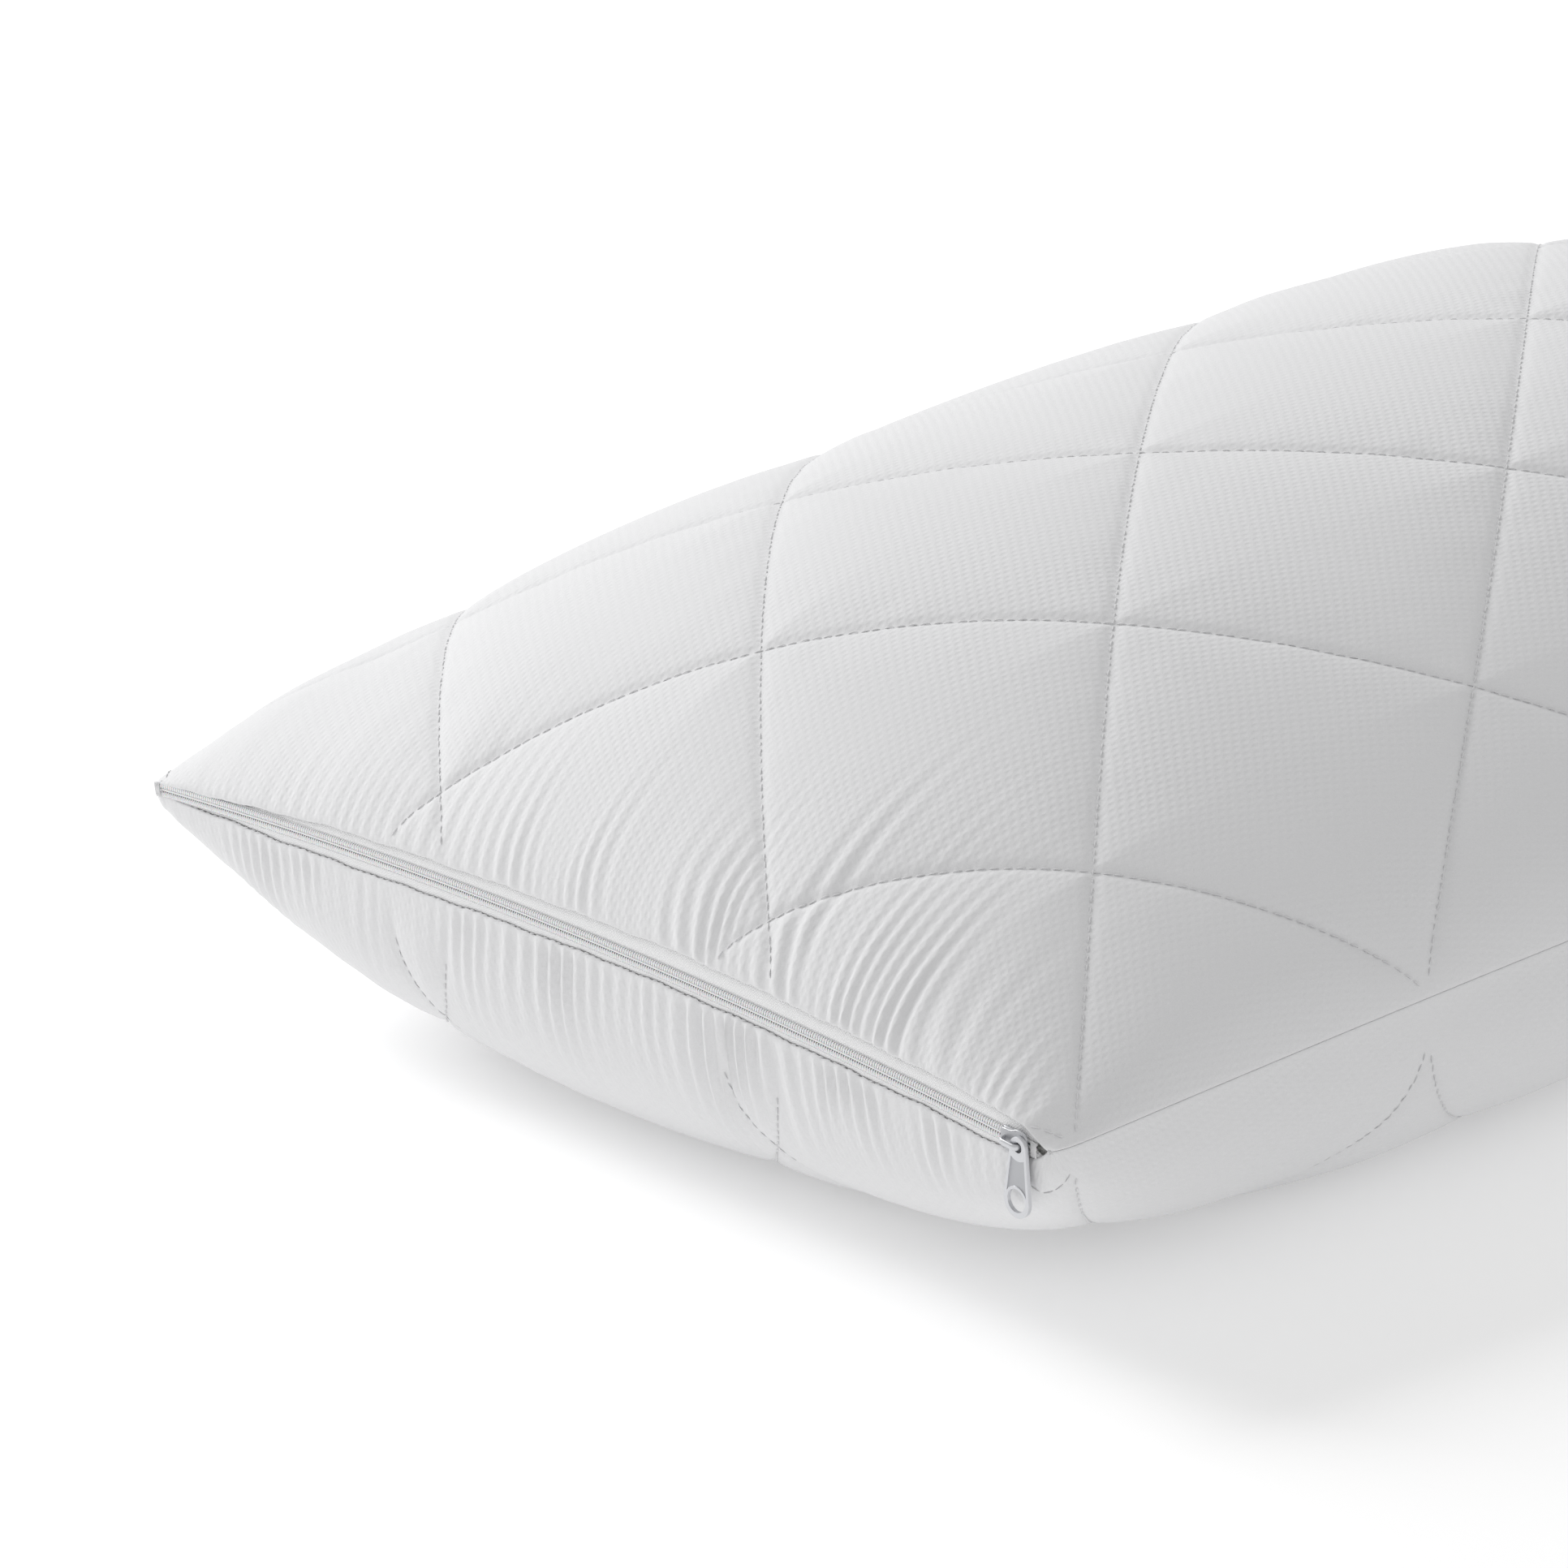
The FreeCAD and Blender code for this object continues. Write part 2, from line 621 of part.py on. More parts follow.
def slider():
    """Two plates joined by the wedge that parts the coils."""
    body = body_at_zip_axis("zip_slider", SLIDER_TURN)
    plan = slider_outline("Sizes.slider_length", "Sizes.slider_nose_width", "Sizes.slider_tail_width")
    pad(body, "XZ_Plane", "outer_plate", plan, f"{PLATE_FACE} - Sizes.slider_plate", PLATE_FACE)
    post = (
        ("Sizes.slider_length / 2 - Sizes.slider_post_length", f"{ZIP_RADIUS}"),
        ("Sizes.slider_length / 2", f"{ZIP_RADIUS} - Sizes.slider_post_width / 2"),
        ("Sizes.slider_length / 2", f"{ZIP_RADIUS} + Sizes.slider_post_width / 2"),
    )
    pad(body, "XZ_Plane", "wedge", post, PLATE_FACE, INNER_PLATE)
    pad(body, "XZ_Plane", "inner_plate", plan, INNER_PLATE, f"{INNER_PLATE} + Sizes.slider_plate")
    return body


def slider_bail():
    """The bar over the slider that carries the pull tab: two legs and a bridge."""
    body = body_at_zip_axis("slider_bail", SLIDER_TURN)
    foot = f"({PLATE_FACE} - Sizes.slider_plate)"
    crown = f"({foot} - Sizes.bail_room)"
    legs = sketch_on(body, "XZ_Plane", "bail_legs_outline", f"-({foot})")
    circle(legs, "Sizes.bail_reach", ZIP_RADIUS, "Sizes.bail_leg_radius")
    raised(body, legs, "front_leg", crown, foot)
    bridge = (
        ("-Sizes.bail_reach - Sizes.bail_leg_radius", f"{ZIP_RADIUS} - Sizes.bail_leg_radius"),
        ("Sizes.bail_reach + Sizes.bail_leg_radius", f"{ZIP_RADIUS} - Sizes.bail_leg_radius"),
        ("Sizes.bail_reach + Sizes.bail_leg_radius", f"{ZIP_RADIUS} + Sizes.bail_leg_radius"),
        ("-Sizes.bail_reach - Sizes.bail_leg_radius", f"{ZIP_RADIUS} + Sizes.bail_leg_radius"),
    )
    pad(body, "XZ_Plane", "bridge", bridge, f"{crown} - Sizes.bail_bar", crown)
    rear = sketch_on(body, "XZ_Plane", "bail_rear_outline", f"-({foot})")
    circle(rear, "-Sizes.bail_reach", ZIP_RADIUS, "Sizes.bail_leg_radius")
    raised(body, rear, "rear_leg", crown, foot)


def pull_tab():
    """The tab that hangs from the bail's front leg: eye, tapered plate and ring hole."""
    body = body_at_zip_axis("zip_pull_tab", SLIDER_TURN)
    outer = f"({PLATE_FACE} - Sizes.slider_plate - Sizes.tab_lift - Sizes.tab_thickness)"
    inner = f"({outer} + Sizes.tab_thickness)"
    eye = f"({ZIP_RADIUS})"
    foot = f"({eye} - Sizes.tab_length + Sizes.tab_foot_width / 2)"
    plate = (
        ("Sizes.bail_reach - Sizes.tab_foot_width / 2", foot),
        ("Sizes.bail_reach + Sizes.tab_foot_width / 2", foot),
        ("Sizes.bail_reach + Sizes.tab_top_width / 2", eye),
        ("Sizes.bail_reach - Sizes.tab_top_width / 2", eye),
    )
    pad(body, "XZ_Plane", "plate", plate, outer, inner)
    for name, height, radius in (
        ("eye_end", eye, "Sizes.tab_top_width / 2"),
        ("foot_end", foot, "Sizes.tab_foot_width / 2"),
    ):
        sketch = sketch_on(body, "XZ_Plane", f"tab_{name}_outline", f"-({inner})")
        circle(sketch, "Sizes.bail_reach", height, radius)
        raised(body, sketch, name, outer, inner)
    for name, height, radius in (
        ("eye", eye, "Sizes.bail_leg_radius + Sizes.tab_running_gap"),
        ("ring_hole", foot, "Sizes.tab_hole_radius"),
    ):
        sketch = sketch_on(body, "XZ_Plane", f"tab_{name}_outline", f"-({inner})")
        circle(sketch, "Sizes.bail_reach", height, radius)
        sunk(body, sketch, name, outer, inner)
    low = f"({foot} + Sizes.tab_foot_width / 2 + Sizes.tab_rim)"
    high = f"({eye} - Sizes.tab_top_width / 2 - Sizes.tab_rim)"
    half = "(Sizes.tab_top_width / 2 - Sizes.tab_rim / 2)"
    recess = (
        (f"Sizes.bail_reach - {half}", low),
        (f"Sizes.bail_reach + {half}", low),
        (f"Sizes.bail_reach + {half}", high),
        (f"Sizes.bail_reach - {half}", high),
    )
    for name, y_low, y_high in (
        ("outer_panel", outer, f"{outer} + Sizes.tab_panel_depth"),
        ("inner_panel", f"{inner} - Sizes.tab_panel_depth", inner),
    ):
        sketch = sketch_on(body, "XZ_Plane", f"tab_{name}_outline", f"-({y_high})")
        outline(sketch, recess)
        sunk(body, sketch, name, y_low, y_high)


def sunk(body, sketch, name, y_low, y_high):
    """Cuts a sketch of the XZ plane out of the body, from y_high to y_low."""
    cut = body.newObject("PartDesign::Pocket", f"{body.Label}_{name}")
    cut.Profile = sketch
    cut.Reversed = True
    cut.setExpression("Length", f"({y_high}) - ({y_low})")
    return cut


for build in (
    cover_plies,
    inner_pillow,
    seam_threads,
    quilting_threads,
    coils,
    tapes,
    zip_topstitch,
    zip_end_tacks,
    slider,
    slider_bail,
    pull_tab,
):
    build()

doc.recompute()
pieces = [item for item in doc.Objects if item.TypeId in ("PartDesign::Body", "Part::Feature")]
for item in doc.Objects:
    if "Invalid" in item.State or "Error" in item.State:
        raise RuntimeError(f"{item.Label} did not build")
for piece in pieces:
    if piece.Shape.isNull() or not piece.Shape.isValid():
        raise RuntimeError(f"{piece.Label} has no valid shape")
os.makedirs("parts", exist_ok=True)
for piece in pieces:
    box = piece.Shape.BoundBox
    print(f"{piece.Label}: {len(piece.Shape.Solids)} solids, {piece.Shape.Volume:.1f} mm3, {box}")
    piece.Shape.exportStep(f"parts/{piece.Label}.step")
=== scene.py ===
import math
import bpy
import numpy as np
from mathutils import Matrix, Vector


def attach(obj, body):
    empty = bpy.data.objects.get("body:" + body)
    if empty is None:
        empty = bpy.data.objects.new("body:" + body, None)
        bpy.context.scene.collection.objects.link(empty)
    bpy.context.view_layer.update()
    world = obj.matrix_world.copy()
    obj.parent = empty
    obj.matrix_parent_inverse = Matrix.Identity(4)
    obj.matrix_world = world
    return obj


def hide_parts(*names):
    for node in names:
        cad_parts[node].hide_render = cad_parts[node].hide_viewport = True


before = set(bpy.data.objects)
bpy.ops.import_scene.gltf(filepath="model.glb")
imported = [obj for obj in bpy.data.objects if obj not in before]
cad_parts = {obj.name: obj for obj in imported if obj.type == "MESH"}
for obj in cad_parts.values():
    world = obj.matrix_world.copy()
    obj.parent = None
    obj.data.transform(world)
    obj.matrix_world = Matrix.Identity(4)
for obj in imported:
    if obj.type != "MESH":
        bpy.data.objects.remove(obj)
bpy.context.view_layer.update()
MM = 0.001

# ---- camera ----------------------------------------------------------------------------------
# A long lens a little above the pillow, off its near right-hand corner, so that the zip runs
# across the view from left to right. The aim is a point inside the pillow near the zip.

camera_turn, camera_rise, camera_tilt = 49.55, 21.87, -2.35
camera_aim = Vector((-53.3, -206.2, 88.6)) * MM
camera_distance = 4279 * MM
turn, rise = math.radians(camera_turn), math.radians(camera_rise)
look = Vector((-math.sin(turn) * math.cos(rise), math.cos(turn) * math.cos(rise), -math.sin(rise)))
camera_data = bpy.data.cameras.new("studio_camera")
camera_data.sensor_width = 36
camera_data.lens = 276.9
camera_data.clip_start = 0.1
camera_data.clip_end = 60
camera = bpy.data.objects.new("studio_camera", camera_data)
bpy.context.scene.collection.objects.link(camera)
upright = look.to_track_quat("-Z", "Y").to_matrix().to_4x4()
tilt = Matrix.Rotation(math.radians(camera_tilt), 4, "Z")
camera.matrix_world = Matrix.Translation(camera_aim - look * camera_distance) @ upright @ tilt
bpy.context.scene.camera = camera

# ---- quilted top panel: knitted face -----------------------------------------------------------
# The face fabric of the top panel: white double-jersey knit with a small dimple pattern, quilted in
# diamonds to the wadding under it. Its edges are turned under, and it is gathered along the zip.

HALF_WIDTH, HALF_LENGTH = 240.0, 348.0
CORNER_HEIGHT, ZIP_RISE, SIDE_RISE = 78.0, 10.3, 4.6
ZIP_RADIUS = (HALF_WIDTH**2 + ZIP_RISE**2) / (2 * ZIP_RISE)
ZIP_AXIS = CORNER_HEIGHT + ZIP_RISE - ZIP_RADIUS
FOLD = 1.2  # radius of the turned edges along the zip
SEAM_FOLD = 0.6  # and of the sewn ones
TURNED_ROWS = 4  # rows of points round each of them
FACE_THICKNESS = 1.0
CREST = 195.0 - (CORNER_HEIGHT + ZIP_RISE + SIDE_RISE) - FOLD - 0.3
FALL = 112.0
ENDS_POWER, TOP_POWER, BOTTOM_POWER = 4.2, 0.706, 0.36  # how full the panels are near their edges
SETTLE = 2.2  # how softly the underside comes to rest
CLOTH_X, CLOTH_Y = 250.0, 350.0  # half of the flat cloth, before quilting draws it in
DRAWN_X, DRAWN_Y = 0.10, 0.115
QUILT_ACROSS, QUILT_ALONG, QUILT_FIRST = 166.7, 175.0, 15.1
dice = np.random.default_rng(7)


def zip_line(x):
    """Height of the zip's centre line."""
    return ZIP_AXIS + np.sqrt(ZIP_RADIUS**2 - np.asarray(x, float) ** 2)


def zip_opening(x, side):
    """Zip centre line to the turned edge of the fabric, above it (side 1) or below (side -1)."""
    above = ((-240, 1.0), (-215, 2.2), (-188, 3.2), (-137, 6.0), (-66, 7.2), (0, 8.4), (45, 9.4),
             (90, 9.2), (146, 8.4), (190, 8.2), (214, 7.6), (228, 6.4), (236, 3.0), (240, 1.0))
    below = ((-240, 1.0), (-215, 3.4), (-188, 5.0), (-168, 6.3), (-123, 7.2), (-89, 7.2), (-59, 6.8),
             (-6, 6.1), (15, 5.6), (52, 5.4), (146, 5.6), (177, 5.4), (200, 5.8), (226, 5.8),
             (236, 3.0), (240, 1.0))
    places, widths = zip(*(above if side > 0 else below))
    wave = 0.22 * np.sin(x / 7.3 + side) + 0.16 * np.sin(x / 3.1 + 2 * side)
    fade = np.clip((HALF_WIDTH - np.abs(x)) / 30, 0, 1)
    return np.interp(x, places, widths) + wave * fade


def seam_height(x, y):
    """Height of the curved surface that holds the seams and the zip."""
    return CORNER_HEIGHT + ZIP_RISE * (1 - (x / HALF_WIDTH) ** 2) + SIDE_RISE * (1 - (y / HALF_LENGTH) ** 2)


def base_height(x, y, side, depth=0.0, inset=0.0):
    """Height of a panel's smooth surface before quilting; depth is how far in the ply lies."""
    s = np.clip(np.abs(x) / (HALF_WIDTH - inset), 0, 1)
    t = np.clip(np.abs(y) / (HALF_LENGTH - inset), 0, 1)
    seam = seam_height(x, y)
    towards_zip = np.clip(-y / HALF_LENGTH, 0, 1) ** 14 * (1 - s**60)
    half_gap, turned = 0.4, 0.0
    if depth == 0:
        half_gap = 0.02 + (zip_opening(x, side) - 0.02) * towards_zip
        turned = SEAM_FOLD + (FOLD - SEAM_FOLD) * towards_zip
    fullness = np.clip((1 - s**2) * (1 - t**ENDS_POWER), 0, 1)
    if side > 0:
        packed = 11 * np.exp(-(((x + 212) / 30) ** 2) - ((y + 312) / 42) ** 2) * fullness**0.3
        return seam + half_gap + turned + (CREST - depth) * fullness**TOP_POWER + packed
    lean = 1 - 0.42 * np.exp(-(((x + 240) / 85) ** 2) - ((y + 348) / 130) ** 2)
    return seam - half_gap - turned - (FALL - depth) * fullness**BOTTOM_POWER * lean


def even_steps(profile, half, coarse, fine, reach, fold):
    """Places from -half to half, evenly spaced along a profile curve and closer near -half."""
    d = np.concatenate([np.geomspace(1e-7, 1, 500) * half, [half]])
    at = np.unique(np.concatenate([-half + d, half - d]))
    length = np.concatenate([[0], np.cumsum(np.hypot(np.diff(at), np.diff(profile(at))))])
    total = length[-1]
    marks = [0.0]
    while marks[-1] < total:
        near = math.exp(-((marks[-1] / reach) ** 2)) if reach else 0
        marks.append(marks[-1] + coarse + (fine - coarse) * near)
    marks = np.array(marks) * total / marks[-1]
    rolled = fold * np.arange(TURNED_ROWS) / TURNED_ROWS * math.pi / 2
    spots = np.interp(marks, length, at)
    inner = np.full(len(rolled), half)
    turned = math.pi / 2 - rolled / fold if fold else rolled
    angles = np.concatenate([turned, np.zeros(len(marks)), turned[::-1]])
    return np.concatenate([-inner, spots, inner]), angles


def smooth_noise(shape, cells, seed):
    """A soft random field between about -1 and 1, with a given number of cells each way."""
    out = np.random.default_rng(seed).normal(size=(cells[0] + 3, cells[1] + 3))
    for axis, count in enumerate(shape):
        size = out.shape[axis] - 3
        at = np.linspace(0, size, count)
        k = np.minimum(at.astype(int), size - 1)
        f = at - k
        f = f.reshape((-1, 1)) if axis == 0 else f.reshape((1, -1))
        a, b, c, d = (np.take(out, k + n, axis=axis) for n in range(4))
        first, last = (1 - f) ** 3 * a, f**3 * d
        middle = (3 * f**3 - 6 * f**2 + 4) * b + (-3 * f**3 + 3 * f**2 + 3 * f + 1) * c
        out = (first + middle + last) / 6
    return out * 1.6


def cloth_place(x, y):
    """Flat-cloth coordinates of a place in plan; the cloth is drawn in towards its edges."""
    flat = np.linspace(-1, 1, 4001)
    u = np.interp(x / HALF_WIDTH, (1 + DRAWN_X) * flat - DRAWN_X * flat**3, flat)
    v = np.interp(y / HALF_LENGTH, (1 + DRAWN_Y) * flat - DRAWN_Y * flat**3, flat)
    return CLOTH_X * (u + 1), CLOTH_Y * (v + 1)


def plan_place(u, v):
    """The way back: where a point of the flat cloth lies in plan."""
    a, b = u / CLOTH_X - 1, v / CLOTH_Y - 1
    x = HALF_WIDTH * ((1 + DRAWN_X) * a - DRAWN_X * a**3)
    return x, HALF_LENGTH * ((1 + DRAWN_Y) * b - DRAWN_Y * b**3)


def grid_normals(points, side):
    """Outward unit normals of a grid of points."""
    along = np.gradient(points, axis=0)
    across = np.gradient(points, axis=1)
    normal = np.cross(along, across) * side
    return normal / np.maximum(np.linalg.norm(normal, axis=2, keepdims=True), 1e-9)


def quilt_distance(points, x, y):
    """Distance over the cloth from each grid point to the nearest quilting line, both ways."""
    u, v = cloth_place(x, y)
    pi, pj = np.gradient(points, axis=0), np.gradient(points, axis=1)
    g11, g22, g12 = (pi * pi).sum(2), (pj * pj).sum(2), (pi * pj).sum(2)
    found = []
    for lean in (1, -1):
        f = (v - QUILT_FIRST) / QUILT_ALONG - lean * (u / QUILT_ACROSS - 1)
        fi, fj = np.gradient(f, axis=0), np.gradient(f, axis=1)
        det = np.maximum(g11 * g22 - g12**2, 1e-9)
        steep = np.sqrt(np.maximum(fi**2 * g22 - 2 * fi * fj * g12 + fj**2 * g11, 1e-12) / det)
        found.append(np.abs(f - np.round(f)) / steep)
    return found


def gathers(x, walk, side):
    """Height of the small folds that the zip seam draws into the cloth; walk is the way from the zip."""
    shape = x.shape
    drift = smooth_noise(shape, (9, 5), 11 + side) * 4.0
    fan = 0.10 * side * np.clip((x - 60) / 150, 0, 1) * walk
    lean = (0.16 if side > 0 else 0.10) * walk * np.exp(-walk / 60)
    place = x + drift * np.clip(walk / 30, 0, 1) + lean + fan
    pitch = 7.4 if side > 0 else 7.0
    phase = place / pitch + smooth_noise(shape, (26, 2), 21 + side) * 0.55
    fold = np.cos(2 * math.pi * phase)
    fold = np.sign(fold) * np.abs(fold) ** 0.8
    small = np.cos(2 * math.pi * (place / 3.9 + smooth_noise(shape, (60, 3), 31 + side) * 0.6))
    each = np.clip(0.75 + 0.55 * smooth_noise(shape, (48, 1), 41 + side), 0.1, 1.6)
    if side > 0:
        spots = ((-240, .12), (-190, .25), (-120, .30), (-60, .62), (-20, .85), (40, .9), (110, 1.35),
                 (160, 1.45), (195, 1.05), (222, .3), (240, 0.0))
        reach = ((-240, 14), (-120, 22), (-60, 42), (0, 48), (80, 52), (150, 54), (200, 34), (240, 10))
    else:
        spots = ((-240, .1), (-200, .55), (-150, .95), (-100, .8), (-60, .75), (0, .95), (110, 1.25),
                 (150, 1.2), (190, .9), (225, .3), (240, 0.0))
        reach = ((-240, 18), (-150, 36), (-60, 32), (20, 38), (110, 38), (180, 30), (240, 10))
    strength = np.interp(x[:, :1], *zip(*spots)) * np.ones(shape)
    length = np.interp(x[:, :1], *zip(*reach)) * (1 + 0.35 * smooth_noise(shape, (40, 1), 51 + side))
    start = 1 - np.exp(-((walk / 3.0) ** 2)) * 0.8
    fade = np.exp(-((walk / np.maximum(length, 6)) ** 2))
    return strength * start * fade * (0.74 * each * fold + 0.16 * small * np.exp(-walk / 14))


def plan_steps(side, depth, inset, x_steps, y_steps):
    """Where a panel's grid lines stand, both ways, and how far each is turned round its edge."""
    def across(x):
        return base_height(x, np.zeros_like(x), side, depth, inset)

    def along(y):
        return base_height(np.zeros_like(y), y, side, depth, inset)

    rows = even_steps(across, HALF_WIDTH - inset, *x_steps)
    return *rows, *even_steps(along, HALF_LENGTH - inset, *y_steps)


def panel_grid(side, coarse_x, coarse_y, fine, reach):
    """The face fabric's outer surface as a grid of points, with the places it was drawn at."""
    x_steps, y_steps = (coarse_x, coarse_x, 0, SEAM_FOLD), (coarse_y, fine, reach, FOLD)
    xs, turn_x, ys, turn_y = plan_steps(side, 0.0, 0.0, x_steps, y_steps)
    x, y = np.meshgrid(xs, ys, indexing="ij")
    fx, fy = np.meshgrid(turn_x, turn_y, indexing="ij")
    fold = np.where(y < -HALF_LENGTH + 1, FOLD, SEAM_FOLD)
    drop = np.maximum(SEAM_FOLD * np.sin(fx), fold * np.sin(fy))
    z = base_height(x, y, side) - side * drop
    corner = np.abs(x / HALF_WIDTH) ** 60 * np.abs(y / HALF_LENGTH) ** 60 * 3.5
    px = x - np.sign(x) * (SEAM_FOLD * (1 - np.cos(fx)) + corner)
    py = y - np.sign(y) * (fold * (1 - np.cos(fy)) + corner)
    points = np.stack([px, py, z], axis=2)
    steps = np.linalg.norm(np.diff(points, axis=1), axis=2)
    walk = np.concatenate([np.zeros((len(xs), 1)), np.cumsum(steps, axis=1)], axis=1)
    normal = grid_normals(points, side)
    near, other = quilt_distance(points, x, y)
    line = np.minimum(near, other)
    from_edge = np.minimum(np.minimum(walk, walk[:, -1:] - walk), 1e3)
    steps_x = np.linalg.norm(np.diff(points, axis=0), axis=2)
    walk_x = np.concatenate([np.zeros((1, len(ys))), np.cumsum(steps_x, axis=0)], axis=0)
    from_side = np.minimum(walk_x, walk_x[-1:] - walk_x)
    edge = np.minimum(from_edge, from_side)
    inside = 1 - np.exp(-((edge / 16.0) ** 2))
    swell, groove = (3.0, 0.9) if side > 0 else (2.2, 0.7)
    puff = swell * (1 - np.exp(-(line / 17.0))) - groove * np.exp(-((line / 1.6) ** 2)) - 0.5
    crinkle = smooth_noise(x.shape, (70, 90), 61 + side) * 0.16 * np.exp(-line / 18)
    lofty = 2.0 * np.clip(smooth_noise(x.shape, (5, 8), 71 + side), 0, 1.4)
    folds = gathers(x, walk, side) * (1 - 0.55 * np.exp(-((line / 4.0) ** 2)))
    points = points + normal * ((puff + crinkle + lofty) * inside + folds)[:, :, None]
    if side < 0:
        points[:, :, 2] = SETTLE * np.logaddexp(0, points[:, :, 2] / SETTLE)
    return {"xs": xs, "ys": ys, "points": points, "walk": walk, "walk_x": walk_x}


def linked(name, mesh):
    """A smooth-shaded object in the scene that holds a mesh."""
    mesh.polygons.foreach_set("use_smooth", np.ones(len(mesh.polygons), bool))
    piece = bpy.data.objects.new(name, mesh)
    bpy.context.scene.collection.objects.link(piece)
    return piece


def hand_over(piece, material, body, slot, *nodes, fill=None):
    """Gives a finished piece its material and body and hides the CAD parts it stands for; slot is not used.
    """
    piece.data.materials.append(material)
    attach(piece, body)
    if nodes:
        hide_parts(*nodes)


def build_mesh(name, vertices, faces, uv=None):
    """A mesh object from points in millimetres; uv gives metres over the cloth for each vertex."""
    mesh = bpy.data.meshes.new(name)
    vertices = np.asarray(vertices, np.float32) * MM
    faces = np.asarray(faces, np.int32)
    mesh.vertices.add(len(vertices))
    mesh.vertices.foreach_set("co", vertices.ravel())
    mesh.loops.add(faces.size)
    mesh.loops.foreach_set("vertex_index", faces.ravel())
    mesh.polygons.add(len(faces))
    mesh.polygons.foreach_set("loop_start", np.arange(0, faces.size, faces.shape[1], dtype=np.int32))
    mesh.update(calc_edges=True)
    if uv is not None:
        layer = mesh.uv_layers.new(name="cloth")
        layer.data.foreach_set("uv", (np.asarray(uv, np.float32) * MM)[faces.ravel()].ravel())
    mesh.validate()
    return linked(name, mesh)


def grid_faces(rows, columns, start=0, flip=False):
    """Quads of a grid of rows by columns whose first vertex has number start."""
    a = (np.arange(rows - 1)[:, None] * columns + np.arange(columns - 1)[None, :]).ravel() + start
    quads = np.stack([a, a + columns, a + columns + 1, a + 1], axis=1)
    return quads[:, ::-1] if flip else quads


def shell(name, outer, inner, side, uv=None):
    """A closed ply between two grids of points."""
    rows, columns = outer.shape[:2]
    count = rows * columns
    number = np.arange(count).reshape(rows, columns)
    rim = np.concatenate([number[:-1, 0], number[-1, :-1], number[:0:-1, -1], number[0, :0:-1]])
    after = np.roll(rim, -1)
    walls = np.stack([rim, rim + count, after + count, after], axis=1)
    if side < 0:
        walls = walls[:, ::-1]
    faces = np.concatenate([
        grid_faces(rows, columns, 0, side < 0),
        grid_faces(rows, columns, count, side > 0),
        walls,
    ])
    points = np.concatenate([outer.reshape(-1, 3), inner.reshape(-1, 3)])
    both = None if uv is None else np.concatenate([uv.reshape(-1, 2)] * 2)
    return build_mesh(name, points, faces, both)


def cloth_uv(grid):
    """Metres over the cloth, measured from the middle of the panel."""
    middle = grid["walk_x"].shape[0] // 2
    centre = grid["walk"].shape[1] // 2
    u = grid["walk_x"] - grid["walk_x"][middle : middle + 1]
    v = grid["walk"] - grid["walk"][:, centre : centre + 1]
    return np.stack([u, v], axis=2)


def linear_colour(text):
    """An sRGB hex colour as linear red, green, blue, alpha."""
    parts = [int(text[n : n + 2], 16) / 255 for n in (1, 3, 5)]
    return (*[c / 12.92 if c <= 0.04045 else ((c + 0.055) / 1.055) ** 2.4 for c in parts], 1.0)


def add_node(material, kind, links=(), **settings):
    """Adds a node; settings name its properties or its sockets, links join its sockets to others."""
    node = material.node_tree.nodes.new(kind)
    for name, setting in settings.items():
        if hasattr(node, name):
            setattr(node, name, setting)
        else:
            socket = int(name[1:]) if name[0] == "_" else name.replace("_", " ")
            node.inputs[socket].default_value = setting
    for socket, source in links:
        material.node_tree.links.new(source, node.inputs[socket])
    return node


def new_material(name, colour, roughness, **settings):
    """A material whose shader has its constant values set on its own sockets."""
    material = bpy.data.materials.new(name)
    material.use_nodes = True
    shader = material.node_tree.nodes["Principled BSDF"]
    shader.inputs["Base Color"].default_value = linear_colour(colour)
    shader.inputs["Roughness"].default_value = roughness
    for key, setting in settings.items():
        shader.inputs[key.replace("_", " ")].default_value = setting
    return material, shader


def object_noise(material, scale, **settings):
    """Noise fixed to the object, with a given number of cells to the metre."""
    where = add_node(material, "ShaderNodeTexCoord")
    links = [("Vector", where.outputs["Object"])]
    return add_node(material, "ShaderNodeTexNoise", links, Scale=scale, **settings).outputs["Fac"]


def cell_rows(material, slant, pitch, randomness, distances, levels):
    """Slanting rows of small cells over the cloth, a given pitch apart both ways in metres."""
    place = add_node(material, "ShaderNodeUVMap", uv_map="cloth")
    rows = add_node(material, "ShaderNodeMapping", [("Vector", place.outputs["UV"])])
    rows.inputs["Rotation"].default_value = (0, 0, math.radians(slant))
    rows.inputs["Scale"].default_value = (1 / pitch[0], 1 / pitch[1], 1)
    cells = add_node(
        material, "ShaderNodeTexVoronoi", [("Vector", rows.outputs["Vector"])],
        voronoi_dimensions="2D", Scale=1.0, Randomness=randomness,
    )
    shaped = add_node(
        material, "ShaderNodeMapRange", [("Value", cells.outputs["Distance"])],
        interpolation_type="SMOOTHSTEP", From_Min=distances[0], From_Max=distances[1],
        To_Min=levels[0], To_Max=levels[1],
    )
    return shaped.outputs["Result"]


def raise_relief(material, shader, height, strength, distance):
    """Relief of a given depth in metres."""
    bump = add_node(material, "ShaderNodeBump", [("Height", height)], Strength=strength, Distance=distance)
    material.node_tree.links.new(bump.outputs["Normal"], shader.inputs["Normal"])


def shade_between(material, shader, factor, dark, light):
    """Colour that runs between two tones."""
    tone = add_node(material, "ShaderNodeValToRGB", [("Fac", factor)])
    tone.color_ramp.elements[0].color = linear_colour(dark)
    tone.color_ramp.elements[1].color = linear_colour(light)
    material.node_tree.links.new(tone.outputs["Color"], shader.inputs["Base Color"])


